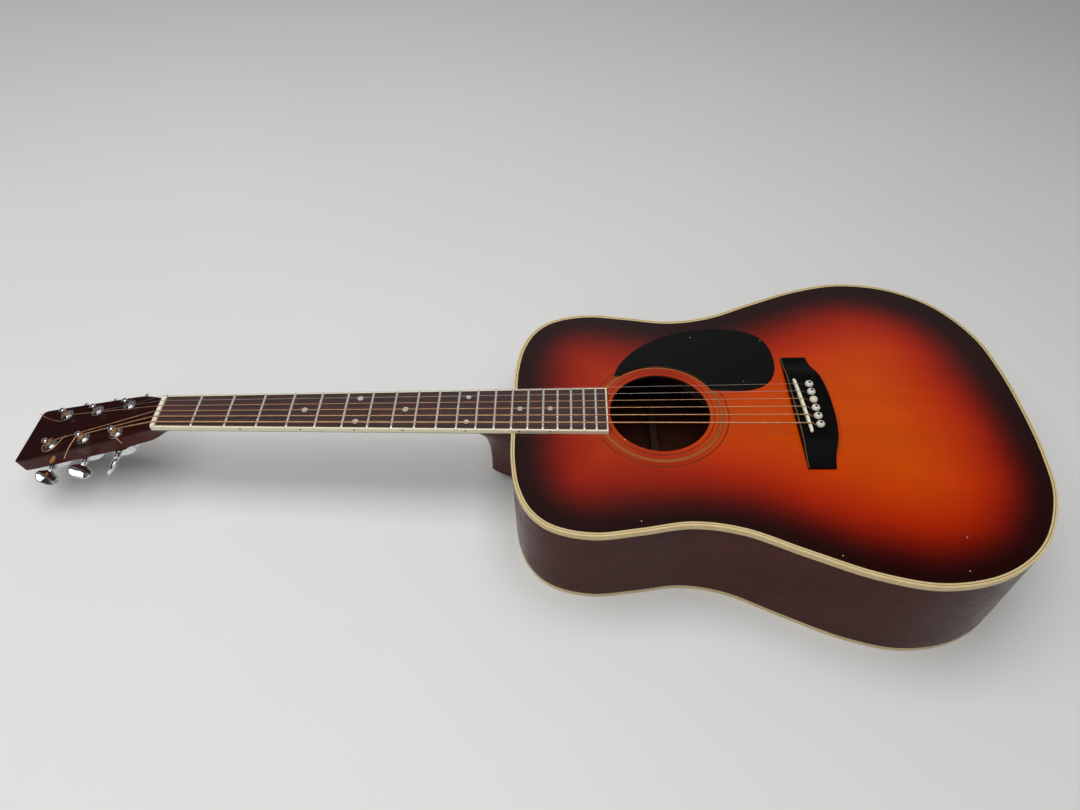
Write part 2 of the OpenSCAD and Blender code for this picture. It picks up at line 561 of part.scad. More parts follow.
module truss_rod() color("#8c8c88") lay_down() {
    translate([9, -3, -10.2]) cube([355, 6, 9.4]);
    translate([364, 0, -9]) rotate([0, 90, 0]) cylinder(r = 3.6, h = 25, $fn = 6);
}

// ---- tuning machines ------------------------------------------------------------------------
cover_r = 7;
gear_r = 5.15;
cav_r = 5.7;
module tuner_housings() color("#b4b6b8") lay_down() for (i = [1:6]) at_tuner(i) difference() {
    union() {
        translate([0, 0, mach_z - 27.5]) cylinder(r = 8.6, h = 27.5 + house_z - mach_z);
        translate([-12.6, -9.5, mach_z - 27.5]) cube([12.6, 18.5, 27.5 + house_z - mach_z]);
        translate([-worm_dx, 8, worm_z]) rotate([-90, 0, 0]) cylinder(r = 3.4, h = 5);
        // ear of the fixing screw
        screw_spot(house_z - 2.4) cylinder(r = 3.4, h = 2.4, $fn = 32);
        translate([2, -5.4, house_z - 2.4]) cube([9, 6.8, 2.4]);
    }
    cylinder(r = post_r + post_clear, h = 80, center = true);
    translate([0, 0, mach_z - 28]) cylinder(r = cav_r, h = 7.5);
    translate([0, 0, mach_z - 29]) cylinder(r = cover_r, h = 2.7);
    translate([-worm_dx, -6, worm_z]) rotate([-90, 0, 0]) cylinder(r = 2.85, h = 14);
    translate([-worm_dx, -8.5, worm_z]) rotate([-90, 0, 0]) cylinder(r = 1.55, h = 4);
    translate([-worm_dx, 5, worm_z]) rotate([-90, 0, 0]) cylinder(r = 2.05, h = 12);
    screw_spot(house_z - 3) cylinder(r = 1.1, h = 6, $fn = 32);
}
module tuner_covers() color("#bfc1c3") lay_down() for (i = [1:6]) at_tuner(i)
    translate([0, 0, mach_z - 27.9]) cylinder(r = cover_r, h = 1.6);
module tuner_bushings() color("#c9cbcd") lay_down() for (i = [1:6]) at_tuner(i) difference() {
    union() {
        translate([0, 0, -13]) cylinder(r = sleeve_r, h = 14);
        translate([0, 0, 0.8]) cylinder(r = 4.6, h = 0.6);
    }
    cylinder(r = post_r + post_clear, h = 80, center = true);
}
module tuner_washers() color("#c4c6c8") lay_down() for (i = [1:6]) at_tuner(i) difference() {
    cylinder(r = washer_r, h = 0.8);
    translate([0, 0, -1]) cylinder(r = sleeve_r, h = 3);
}
module tuner_screws() color("#a8aaac") lay_down() for (i = [1:6]) at_tuner(i) screw_spot(0) {
    translate([0, 0, house_z - 2.4]) cylinder(r = 1, h = 9.2, $fn = 24);
    difference() {
        translate([0, 0, house_z - 3.9]) cylinder(r = 2.2, h = 1.5, $fn = 32);
        translate([-1.4, -0.25, house_z - 4]) cube([2.8, 0.5, 0.8]);
        translate([-0.25, -1.4, house_z - 4]) cube([0.5, 2.8, 0.8]);
    }
}
module tuner_post(i) color("#d2d4d6") lay_down() at_tuner(i) {
    difference() {
        rotate_extrude($fn = 40) polygon([[0, mach_z - 26], [2.2, mach_z - 26], [2.2, mach_z - 19.6], [post_r, mach_z - 19.6], [post_r, 2.3],
            [waist_r, 2.45], [waist_r, 7.95], [2.7, 8.05], [3, 8.4], [3, 8.9], [2.6, 9.4], [1.6, 9.75], [0, 9.85]]);
        translate([0, 0, 5.6]) rotate([90, 0, 25]) cylinder(r = 0.75, h = 10, center = true, $fn = 24);
    }
    // brass worm wheel pressed on the foot of the post
    difference() {
        translate([0, 0, mach_z - 25.6]) cylinder(r = gear_r, h = 4.8);
        translate([0, 0, mach_z - 27]) cylinder(r = 2.22, h = 8);
        for (k = [0:13]) rotate([0, 0, k * 360 / 14 + 360 / 28]) translate([gear_r + 0.15, 0, mach_z - 27])
            cylinder(r = 0.55, h = 8, $fn = 16);
    }
}
module thumb_shape() {
    // waisted, rounded paddle with bevelled rims
    hull() {
        translate([0, 0, -1.7]) linear_extrude(3.4) paddle(0);
        translate([0, 0, -3.1]) linear_extrude(6.2) paddle(1.7);
    }
}
module paddle(e) {
    translate([-5.6, 8.6]) circle(r = 5.6 - e, $fn = 24);
    translate([5.6, 8.6]) circle(r = 5.6 - e, $fn = 24);
    translate([-3.4, 12.2]) circle(r = 5 - e, $fn = 24);
    translate([3.4, 12.2]) circle(r = 5 - e, $fn = 24);
    translate([0, 3.4]) circle(r = 3.2 - e, $fn = 24);
}
module tuner_button(i) color("#cfd1d3") lay_down() at_tuner(i) translate([-worm_dx, 0, worm_z]) {
    translate([0, -8.3, 0]) rotate([-90, 0, 0]) cylinder(r = 1.5, h = 3, $fn = 32);
    translate([0, -5.6, 0]) rotate([-90, 0, 0]) cylinder(r = 2.5, h = 13.1);
    translate([0, 7.4, 0]) rotate([-90, 0, 0]) cylinder(r = 2, h = button_y - 6.6);
    translate([0, 13.35, 0]) rotate([-90, 0, 0]) cylinder(r = 3, h = 1.9);
    rotate([0, button_ang[i - 1], 0]) translate([0, button_y, 0]) thumb_shape();
}

top_plate();
back_plate();
side_bass();
side_treble();
top_binding();
purfling_line();
purfling_strip();
back_binding();
rosette_lines();
rosette_band();
pickguard();
neck_block();
tail_block();
top_lining();
back_lining();
x_braces();
upper_brace();
tone_bars();
finger_braces();
soundhole_braces();
bridge_plate();
back_braces();
back_strip();
bridge();
saddle();
bridge_pins();
bridge_pin_odd();
end_pin();
neck();
head_veneer();
fretboard();
board_binding();
frets();
face_dots();
side_dots();
nut();
truss_rod();
string(1);  // string_1
string(2);  // string_2
string(3);  // string_3
string(4);  // string_4
string(5);  // string_5
string(6);  // string_6
tuner_housings();
tuner_covers();
tuner_bushings();
tuner_washers();
tuner_screws();
tuner_post(1);  // tuner_post_1
tuner_post(2);  // tuner_post_2
tuner_post(3);  // tuner_post_3
tuner_post(4);  // tuner_post_4
tuner_post(5);  // tuner_post_5
tuner_post(6);  // tuner_post_6
tuner_button(1);  // tuner_button_1
tuner_button(2);  // tuner_button_2
tuner_button(3);  // tuner_button_3
tuner_button(4);  // tuner_button_4
tuner_button(5);  // tuner_button_5
tuner_button(6);  // tuner_button_6
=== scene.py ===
import bpy, bmesh, math, random
import numpy as np
from mathutils import Matrix, Vector
from mathutils.geometry import delaunay_2d_cdt


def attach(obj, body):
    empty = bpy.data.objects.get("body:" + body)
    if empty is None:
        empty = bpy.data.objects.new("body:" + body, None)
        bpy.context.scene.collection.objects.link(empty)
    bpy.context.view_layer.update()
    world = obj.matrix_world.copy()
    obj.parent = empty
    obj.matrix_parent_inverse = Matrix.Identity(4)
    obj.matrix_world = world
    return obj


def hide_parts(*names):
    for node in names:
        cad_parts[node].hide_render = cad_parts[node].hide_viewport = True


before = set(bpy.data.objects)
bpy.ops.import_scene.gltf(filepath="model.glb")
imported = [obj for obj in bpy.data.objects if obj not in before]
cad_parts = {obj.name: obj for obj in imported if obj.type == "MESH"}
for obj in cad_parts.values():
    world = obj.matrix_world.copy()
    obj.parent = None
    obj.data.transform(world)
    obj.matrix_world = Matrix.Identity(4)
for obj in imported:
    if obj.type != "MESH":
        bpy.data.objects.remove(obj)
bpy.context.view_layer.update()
ROOT = "guitar"
random.seed(7)
rng = np.random.default_rng(7)

# ------------------------------------------------------------------ the working frame
# x from the nut to the tail, y to the treble side, z out of the top, in mm, as in part.scad
TAPER = math.radians(2.5)
DEPTH = 109.5
X0, XM, X1 = 357.5, 611.5, 865.5
ZM = -(DEPTH + math.tan(TAPER) * (XM - X0))
OX = -(XM * math.cos(TAPER) - ZM * math.sin(TAPER))
OZ = -(XM * math.sin(TAPER) + ZM * math.cos(TAPER))
LAY = Matrix.Translation((OX, 0, OZ)) @ Matrix.Rotation(-TAPER, 4, "Y")
TH = math.radians(12.7)
HEAD = Matrix.Translation((-5, 0, 2)) @ Matrix.Rotation(-TH, 4, "Y")


def W(p):
    return (LAY @ Vector(p)) * 0.001


def head(x, y, z):
    return HEAD @ Vector((x, y, z))


def back_z(x, h):
    """z in the working frame of a point h mm above the back's plane"""
    return (h - OZ - x * math.sin(TAPER)) / math.cos(TAPER)


# ------------------------------------------------------------------ camera
cam_data = bpy.data.cameras.new("camera")
cam = bpy.data.objects.new("camera", cam_data)
bpy.context.scene.collection.objects.link(cam)
bpy.context.scene.camera = cam
cam_data.sensor_fit = "HORIZONTAL"
cam_data.sensor_width = 36.0
cam_data.lens = 769.785 / 1080 * 36
cam_data.clip_start = 0.02
cam_data.clip_end = 50
CAM_R = Matrix(((0.99947079, 0.01692097, -0.02778181), (-0.00549764, -0.75390525, -0.65696016),
                (-0.03206125, 0.65676522, -0.75341324)))
CAM_C = Vector((410.615, -504.199, 589.772))
rot = CAM_R.transposed() @ Matrix.Diagonal((1, -1, -1))
cam_m = LAY @ (Matrix.Translation(CAM_C) @ rot.to_4x4())
cam.matrix_world = Matrix.Translation(cam_m.translation * 0.001) @ cam_m.to_3x3().normalized().to_4x4()

# ------------------------------------------------------------------ outline of the body
HALF = [(357.5, 0), (357.5, 30), (358.5, 60), (364, 92), (377, 119), (400, 137), (437, 144.5),
        (480, 139.5), (525, 133), (570, 140), (620, 161.5), (675, 183.5), (728, 193.5), (782, 183.5),
        (826, 153), (854, 105), (863.3, 55), (865.5, 0)]


def cr(a, b, c, d, t):
    return 0.5 * ((2 * b) + (c - a) * t + (2 * a - 5 * b + 4 * c - d) * t * t + (3 * b - a - 3 * c + d) * t ** 3)


def catmull(pts, n, closed=False):
    p = [np.array(q, float) for q in pts]
    out = []
    m = len(p)
    for i in range(m if closed else m - 1):
        if closed:
            a, b, c, d = p[i - 1], p[i], p[(i + 1) % m], p[(i + 2) % m]
        else:
            a, b, c, d = p[max(0, i - 1)], p[i], p[i + 1], p[min(m - 1, i + 2)]
        for k in range(n):
            out.append(cr(a, b, c, d, k / n))
    if not closed:
        out.append(p[-1])
    return np.array(out)


def resample(pts, n, closed=True):
    p = np.array(pts, float)
    if closed:
        p = np.vstack([p, p[:1]])
    s = np.r_[0, np.cumsum(np.linalg.norm(np.diff(p, axis=0), axis=1))]
    t = np.linspace(0, s[-1], n, endpoint=not closed)
    return np.column_stack([np.interp(t, s, p[:, k]) for k in range(p.shape[1])]), t, s[-1]


def normals2(p):
    d = np.roll(p, -1, 0) - np.roll(p, 1, 0)
    d /= np.linalg.norm(d, axis=1)[:, None]
    return np.column_stack([-d[:, 1], d[:, 0]])


_h = [np.array(q, float) for q in HALF]
_e = [_h[1] * [1, -1]] + _h + [_h[-2] * [1, -1]]
_half = [cr(_e[i], _e[i + 1], _e[i + 2], _e[i + 3], k / 40) for i in range(len(_h) - 1) for k in range(40)] + [_h[-1]]
_full = np.array(_half + [q * [1, -1] for q in _half[-2:0:-1]])
NO = 560
OUT, OUT_S, OUT_L = resample(_full, NO)
OUT_N = normals2(OUT)


def inset(d):
    return OUT - OUT_N * d


# ------------------------------------------------------------------ mesh helpers
def finish_obj(o, body, reps, mats, smooth, angle):
    for m in mats:
        o.data.materials.append(m)
    if smooth:
        o.data.shade_smooth()
        if angle is not None:
            o.data.set_sharp_from_angle(angle=math.radians(angle))
    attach(o, body)
    if reps:
        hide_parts(*reps)
    return o


def make(name, verts, faces, mats, body=ROOT, reps=(), slot_name=None, smooth=True, angle=40, attrs=None, world=False,
         face_mats=None, weld=0.0):
    """a mesh piece; verts are in the working frame (mm) unless world is set"""
    me = bpy.data.meshes.new(name)
    me.from_pydata([tuple(v) if world else tuple(W(v)) for v in verts], [], [tuple(int(i) for i in f) for f in faces])
    for key, vals in (attrs or {}).items():
        at = me.attributes.new(key, "FLOAT", "POINT")
        at.data.foreach_set("value", np.array(vals, np.float32))
    if face_mats is not None:
        me.polygons.foreach_set("material_index", np.array(face_mats, np.int32))
    me.validate()
    bm = bmesh.new()
    bm.from_mesh(me)
    if weld:
        bmesh.ops.remove_doubles(bm, verts=bm.verts, dist=weld)
    bmesh.ops.recalc_face_normals(bm, faces=bm.faces)
    bm.to_mesh(me)
    bm.free()
    me.update()
    o = bpy.data.objects.new(name, me)
    bpy.context.scene.collection.objects.link(o)
    return finish_obj(o, body, reps, mats if isinstance(mats, (list, tuple)) else [mats], smooth, angle)


class Geo:
    """collects vertices and faces of a piece, with float attributes"""

    def __init__(self):
        self.v, self.f, self.a, self.fm = [], [], {}, []

    def add(self, verts, faces, mat=0, **attrs):
        b = len(self.v)
        verts = [tuple(q) for q in verts]
        self.v += verts
        self.f += [tuple(b + i for i in f) for f in faces]
        self.fm += [mat] * len(faces)
        for k in set(self.a) | set(attrs):
            cur = self.a.setdefault(k, [0.0] * b)
            cur += list(attrs.get(k, [0.0] * len(verts)))
        return b

    def make(self, name, mats, **kw):
        return make(name, self.v, self.f, mats, attrs=self.a, face_mats=self.fm, **kw)


def grid_faces(nu, nv, close_u=False, close_v=False, flip=False):
    """faces over a grid of nu x nv vertices stored row by row (v fastest)"""
    out = []
    for i in range(nu if close_u else nu - 1):
        for j in range(nv if close_v else nv - 1):
            a, b = i * nv + j, ((i + 1) % nu) * nv + j
            c, d = ((i + 1) % nu) * nv + (j + 1) % nv, i * nv + (j + 1) % nv
            out.append((a, d, c, b) if flip else (a, b, c, d))
    return out


def rings(geo, rows, closed_ring=True, cap0=True, cap1=True, mat=0, **attrs):
    """rows of equally many points, joined into a skin, with flat ends"""
    n, m = len(rows), len(rows[0])
    flat = [p for r in rows for p in r]
    faces = grid_faces(n, m, close_v=closed_ring)
    if closed_ring and cap0:
        faces.append(tuple(range(m)))
    if closed_ring and cap1:
        faces.append(tuple((n - 1) * m + k for k in reversed(range(m))))
    return geo.add(flat, faces, mat, **attrs)


def tube(geo, path, r, m=12, mat=0, cap=True, with_len=True):
    """a round tube along a path (working frame); attribute 'along' runs in mm"""
    p = np.array(path, float)
    n = len(p)
    t = np.zeros_like(p)
    t[1:-1] = p[2:] - p[:-2]
    t[0], t[-1] = p[1] - p[0], p[-1] - p[-2]
    t /= np.linalg.norm(t, axis=1)[:, None]
    ref = np.array([0, 0, 1.0]) if abs(t[0][2]) < 0.9 else np.array([0, 1.0, 0])
    u = np.cross(t[0], ref)
    u /= np.linalg.norm(u)
    s = np.r_[0, np.cumsum(np.linalg.norm(np.diff(p, axis=0), axis=1))]
    rows, al = [], []
    rr = r if hasattr(r, "__len__") else [r] * n
    for i in range(n):
        u = u - (u @ t[i]) * t[i]
        u /= np.linalg.norm(u)
        w = np.cross(t[i], u)
        rows.append([p[i] + rr[i] * (math.cos(2 * math.pi * k / m) * u + math.sin(2 * math.pi * k / m) * w) for k in range(m)])
        al += [s[i]] * m
    rings(geo, rows, cap0=cap, cap1=cap, mat=mat, along=al)


def revolve(geo, prof, place, m=48, mat=0, cap0=False, cap1=False):
    """prof = [(r, z)], turned about local z, placed by a function local -> working frame"""
    rows = []
    for r, z in prof:
        rows.append([place(max(r, 1e-4) * math.cos(2 * math.pi * k / m), max(r, 1e-4) * math.sin(2 * math.pi * k / m), z) for k in range(m)])
    rings(geo, rows, cap0=True, cap1=True, mat=mat)


# ------------------------------------------------------------------ shader helpers
class Sh:
    def __init__(self, name):
        self.m = bpy.data.materials.new(name)
        self.m.use_nodes = True
        self.t = self.m.node_tree
        self.t.nodes.clear()
        self.out = self.t.nodes.new("ShaderNodeOutputMaterial")
        self.b = self.t.nodes.new("ShaderNodeBsdfPrincipled")
        self.t.links.new(self.b.outputs[0], self.out.inputs[0])

    def n(self, kind, **props):
        nd = self.t.nodes.new("ShaderNode" + kind)
        for k, v in props.items():
            setattr(nd, k, v)
        return nd

    def link(self, a, b):
        self.t.links.new(a, b)

    def set(self, **vals):
        for k, v in vals.items():
            self.b.inputs[k.replace("_", " ")].default_value = v
        return self

    def coord(self, scale=(1, 1, 1), rot=(0, 0, 0), loc=(0, 0, 0)):
        c = self.n("TexCoord")
        mp = self.n("Mapping")
        mp.inputs["Scale"].default_value = scale
        mp.inputs["Rotation"].default_value = rot
        mp.inputs["Location"].default_value = loc
        self.link(c.outputs["Object"], mp.inputs["Vector"])
        return mp.outputs[0]

    def attr(self, name):
        a = self.n("Attribute", attribute_name=name)
        return a.outputs["Fac"]

    def noise(self, vec=None, scale=5, detail=3, rough=0.5, dist=0.0, dims="3D"):
        nd = self.n("TexNoise", noise_dimensions=dims)
        nd.inputs["Scale"].default_value = scale
        nd.inputs["Detail"].default_value = detail
        nd.inputs["Roughness"].default_value = rough
        nd.inputs["Distortion"].default_value = dist
        if vec is not None:
            self.link(vec, nd.inputs["Vector"])
        return nd.outputs["Fac"]

    def voronoi(self, vec, scale, feature="F1", rnd=1.0):
        nd = self.n("TexVoronoi", feature=feature)
        nd.inputs["Scale"].default_value = scale
        nd.inputs["Randomness"].default_value = rnd
        self.link(vec, nd.inputs["Vector"])
        return nd

    def math(self, op, a, b=0.0, c=0.0, clamp=False):
        nd = self.n("Math", operation=op, use_clamp=clamp)
        for i, v in enumerate((a, b, c)):
            if hasattr(v, "is_linked"):
                self.link(v, nd.inputs[i])
            elif i < len(nd.inputs):
                nd.inputs[i].default_value = v
        return nd.outputs[0]

    def ramp(self, fac, stops, interp="LINEAR"):
        nd = self.n("ValToRGB")
        cr_ = nd.color_ramp
        cr_.interpolation = interp
        while len(cr_.elements) < len(stops):
            cr_.elements.new(0.5)
        for e, (pos, col) in zip(cr_.elements, stops):
            e.position = pos
            e.color = (col, col, col, 1) if not hasattr(col, "__len__") else (*col, 1)
        self.link(fac, nd.inputs[0])
        return nd.outputs[0]

    def range(self, v, a0, a1, b0=0.0, b1=1.0, smooth=False):
        nd = self.n("MapRange", clamp=True)
        nd.interpolation_type = "SMOOTHSTEP" if smooth else "LINEAR"
        self.link(v, nd.inputs["Value"])
        for k, x in zip(("From Min", "From Max", "To Min", "To Max"), (a0, a1, b0, b1)):
            nd.inputs[k].default_value = x
        return nd.outputs["Result"]

    def mix(self, fac, a, b, mode="MIX"):
        nd = self.n("Mix", data_type="RGBA", blend_type=mode)
        if hasattr(fac, "is_linked"):
            self.link(fac, nd.inputs[0])
        else:
            nd.inputs[0].default_value = fac
        for i, v in ((6, a), (7, b)):
            if hasattr(v, "is_linked"):
                self.link(v, nd.inputs[i])
            else:
                nd.inputs[i].default_value = (*v, 1)
        return nd.outputs[2]

    def bump(self, height, strength=0.2, dist=0.001, normal=None):
        nd = self.n("Bump")
        nd.inputs["Strength"].default_value = strength
        nd.inputs["Distance"].default_value = dist
        self.link(height, nd.inputs["Height"])
        if normal is not None:
            self.link(normal, nd.inputs["Normal"])
        return nd.outputs[0]

    def bevel(self, r=0.0003):
        nd = self.n("Bevel", samples=4)
        nd.inputs["Radius"].default_value = r
        return nd.outputs[0]

    def color(self, sock):
        self.link(sock, self.b.inputs["Base Color"])
        return self

    def rough(self, sock):
        self.link(sock, self.b.inputs["Roughness"])
        return self

    def normal(self, sock):
        self.link(sock, self.b.inputs["Normal"])
        return self


def lin(r, g, b):
    f = lambda c: c / 12.92 if c <= 0.04045 else ((c + 0.055) / 1.055) ** 2.4
    return (f(r / 255), f(g / 255), f(b / 255))


def sc(c, k):
    return tuple(min(1.0, x * k) for x in c)


# ------------------------------------------------------------------ materials
KEY_W, WIN_W = 52.0, 4.0

# sunburst top: colour runs with the distance from the body's edge
s = Sh("sunburst_top")
vec = s.coord()
edge = s.attr("edge")
wob = s.noise(s.coord((9, 9, 9)), 1.0, 2)
fine = s.noise(s.coord((5, 900, 5)), 1.0, 4, 0.6)
cloud = s.noise(s.coord((22, 30, 22)), 1.0, 3, 0.55)
e2 = s.math("ADD", edge, s.math("MULTIPLY", s.math("SUBTRACT", wob, 0.5), 0.010))
# the dark border is wider on the treble side and round the upper bout, narrower at the tail on the bass side
tsep = s.n("SeparateXYZ")
s.link(s.coord(), tsep.inputs[0])
far = s.range(tsep.outputs[1], -0.04, 0.06, 0, 1, True)
tail = s.range(tsep.outputs[0], 0.10, 0.19, 0, 1, True)
upb = s.range(tsep.outputs[0], -0.19, -0.10, 1, 0, True)
waist = s.math("MULTIPLY", s.range(s.math("ABSOLUTE", s.math("ADD", tsep.outputs[0], 0.065)), 0.03, 0.075, 1, 0, True), s.math("SUBTRACT", 1.0, far))
e2 = s.math("MULTIPLY", e2, s.math("SUBTRACT", 1.0, s.math("MULTIPLY", far, 0.09)))
e2 = s.math("ADD", e2, s.math("MULTIPLY", far, -0.0035))
e2 = s.math("ADD", e2, s.math("MULTIPLY", upb, -0.003))
e2 = s.math("ADD", e2, s.math("MULTIPLY", s.math("MULTIPLY", upb, far), 0.006))
e2 = s.math("ADD", e2, s.math("MULTIPLY", waist, 0.003))
e2 = s.math("ADD", e2, s.math("MULTIPLY", s.math("MULTIPLY", far, tail), -0.003))
e2 = s.math("ADD", e2, s.math("MULTIPLY", s.math("MULTIPLY", tail, s.math("SUBTRACT", 1.0, far)), s.range(e2, 0.02, 0.05, 0.0, 0.0035)))
fac = s.math("DIVIDE", e2, 0.13, clamp=True)
burst = s.ramp(fac, [(0.00, lin(30, 5, 4)), (0.09, lin(34, 5, 4)), (0.15, lin(49, 6, 4)), (0.21, lin(75, 10, 4)),
                     (0.28, lin(107, 15, 3)), (0.36, lin(141, 24, 2)), (0.46, lin(170, 36, 1)), (0.58, lin(188, 49, 1)),
                     (0.72, lin(199, 61, 1)), (0.88, lin(205, 70, 1)), (1.00, lin(207, 74, 2))])
red = s.math("MULTIPLY", s.range(tsep.outputs[0], -0.19, 0.02, 1, 0, True), s.range(fac, 0.2, 0.5, 0, 1))
burst = s.mix(red, burst, s.mix(1.0, burst, (0.74, 0.66, 1.0), "MULTIPLY"))
grain = s.range(fine, 0.3, 0.7, 0.95, 1.03)
blotch = s.range(cloud, 0.25, 0.75, 0.93, 1.06)
tone = s.math("MULTIPLY", grain, blotch)
tn = s.n("CombineColor")
for i in range(3):
    s.link(tone, tn.inputs[i])
col = s.mix(1.0, burst, tn.outputs[0], "MULTIPLY")
# small dark flecks under the lacquer
vor = s.voronoi(s.coord((1, 1, 1)), 48)
fleck = s.range(vor.outputs["Distance"], 0.022, 0.04, 1, 0)
pick = s.math("GREATER_THAN", s.noise(s.coord((37, 37, 37)), 1.0, 0), 0.62)
fleck = s.math("MULTIPLY", fleck, pick)
col = s.mix(s.math("MULTIPLY", fleck, 0.55), col, lin(60, 18, 8))


def spots(s, col, marks, shade):
    """small worn spots at (x, y, radius) in the row frame, in mm"""
    sep = s.n("SeparateXYZ")
    s.link(s.coord(), sep.inputs[0])
    nz = s.noise(s.coord((900, 900, 900)), 1.0, 2)
    total = None
    for x, y, rx, ry, ang in marks:
        c, q = math.cos(ang), math.sin(ang)
        dx = s.math("SUBTRACT", sep.outputs[0], x)
        dy = s.math("SUBTRACT", sep.outputs[1], y)
        a = s.math("DIVIDE", s.math("ADD", s.math("MULTIPLY", dx, c), s.math("MULTIPLY", dy, q)), rx)
        b = s.math("DIVIDE", s.math("SUBTRACT", s.math("MULTIPLY", dy, c), s.math("MULTIPLY", dx, q)), ry)
        d = s.math("SQRT", s.math("ADD", s.math("MULTIPLY", a, a), s.math("MULTIPLY", b, b)))
        d = s.math("ADD", d, s.math("MULTIPLY", s.math("SUBTRACT", nz, 0.5), 0.9))
        f = s.range(d, 0.8, 1.05, 1, 0)
        total = f if total is None else s.math("MAXIMUM", total, f)
    return s.mix(total, col, shade), total


# small chips through the lacquer, as (x, y, half length, half width, turn)
TOPMARKS = ((469.4, -35.4, 0.8, 0.55, 0.3), (552.6, -28.3, 0.8, 0.5, 2.0), (759.7, -145.2, 0.85, 0.55, 0.8),
            (750.8, -178.1, 0.8, 0.5, 2.4), (648.6, -163.4, 0.75, 0.5, 0.2), (478.7, -128.5, 0.7, 0.5, 1.0),
            (565.8, -145.0, 0.75, 0.5, 1.6))
GUARDMARKS = ((547.6, 105.4, 0.8, 0.5), (622.1, 99.7, 0.6, 0.8), (595.2, 39.7, 0.8, 0.5))


def rowxy(x, y):
    q = W((x, y, 0))
    return q.x, q.y


TOP_MARKS = []
for x, y, rx, ry, ang in TOPMARKS:
    q = rowxy(x, y)
    TOP_MARKS.append((q[0], q[1], rx * 0.001, ry * 0.001, ang))
col, spot = spots(s, col, TOP_MARKS, lin(205, 170, 130))
s.color(col)
wave = s.noise(s.coord((11, 14, 11)), 1.0, 1)
h = s.math("ADD", s.math("MULTIPLY", fine, 0.12), s.math("MULTIPLY", spot, -1.0))
nb = s.bump(wave, 0.18, 0.002)
nb = s.bump(h, 0.10, 0.0003, nb)
s.normal(nb)
scuff = s.noise(s.coord((60, 60, 60)), 1.0, 4, 0.65)
s.rough(s.range(scuff, 0.35, 0.75, 0.06, 0.13))
s.set(IOR=1.5, Coat_Weight=0.0, Specular_IOR_Level=0.42)
M_TOP = s.m


def wood(name, dark, light, scale=(6, 260, 260), rough=(0.25, 0.4), pores=None, bump=0.15, spec=0.5, coords=None,
         figure=0.5, bevel=0.0):
    s = Sh(name)
    v = s.coord(scale) if coords is None else coords(s, scale)
    g = s.noise(v, 1.0, 5, 0.6, 0.3)
    big = s.noise(s.coord((9, 20, 20)) if coords is None else coords(s, (9, 20, 20)), 1.0, 3, 0.5)
    f = s.math("ADD", s.math("MULTIPLY", s.range(g, 0.3, 0.7), 1 - figure), s.math("MULTIPLY", s.range(big, 0.3, 0.7), figure))
    c = s.mix(f, dark, light)
    if pores:
        pv = s.coord(pores) if coords is None else coords(s, pores)
        pn = s.noise(pv, 1.0, 2, 0.5)
        pf = s.range(pn, 0.56, 0.66, 0, 1)
        c = s.mix(s.math("MULTIPLY", pf, 0.55), c, sc(dark, 0.35))
        hh = s.math("SUBTRACT", g, s.math("MULTIPLY", pf, 1.2))
    else:
        hh = g
    s.color(c)
    s.normal(s.bump(hh, bump, 0.0003, s.bevel(bevel) if bevel else None))
    s.rough(s.range(s.noise(s.coord((70, 70, 70)), 1.0, 4, 0.65), 0.35, 0.7, rough[0], rough[1]))
    s.set(IOR=1.5, Specular_IOR_Level=spec)
    return s.m


def arc_coords(s, scale):
    cb = s.n("CombineXYZ")
    s.link(s.math("MULTIPLY", s.attr("arc"), scale[0]), cb.inputs[0])
    s.link(s.math("MULTIPLY", s.attr("hgt"), scale[1]), cb.inputs[1])
    return cb.outputs[0]


M_SIDE = wood("side_mahogany", lin(56, 22, 19), lin(84, 37, 29), (7, 330, 1), (0.2, 0.34), (38, 1500, 1), 0.05, coords=arc_coords, figure=0.6, spec=0.10)
M_BACK = wood("back_mahogany", lin(50, 25, 20), lin(88, 46, 34), (7, 300, 300), (0.2, 0.34), (36, 1300, 1300), 0.08)
M_NECK = wood("neck_mahogany", lin(58, 26, 20), lin(98, 48, 36), (8, 260, 260), (0.2, 0.34), (40, 1300, 1300), 0.08)
M_ROSE = wood("rosewood", lin(36, 19, 17), lin(80, 46, 40), (10, 520, 300), (0.42, 0.6), (44, 1500, 900), 0.35, figure=0.3)
M_VENEER = wood("head_veneer_lacquer", lin(33, 10, 10), lin(45, 16, 15), (9, 300, 300), (0.08, 0.16), None, 0.03, figure=0.7, spec=0.38)
M_VENEER_SIDE = wood("head_veneer_side", lin(38, 13, 12), lin(52, 20, 17), (9, 300, 300), (0.35, 0.5), None, 0.03, spec=0.10)
# inside woods: spruce and mahogany darkened far below their own colour, painted shade of the dim inside of the body
M_SPRUCE_PAINTED_SHADE = wood("bare_spruce", lin(46, 28, 17), lin(62, 40, 24), (6, 420, 420), (0.6, 0.8), None, 0.25, spec=0.25)
M_BLOCK_PAINTED_SHADE = wood("mahogany_painted_shade", lin(50, 32, 22), lin(72, 48, 32), (8, 300, 300), (0.65, 0.8), None, 0.3, spec=0.25)
M_BAREWOOD = wood("bare_chip", lin(150, 88, 52), lin(206, 150, 98), (30, 700, 700), (0.55, 0.75), None, 0.5, spec=0.3)


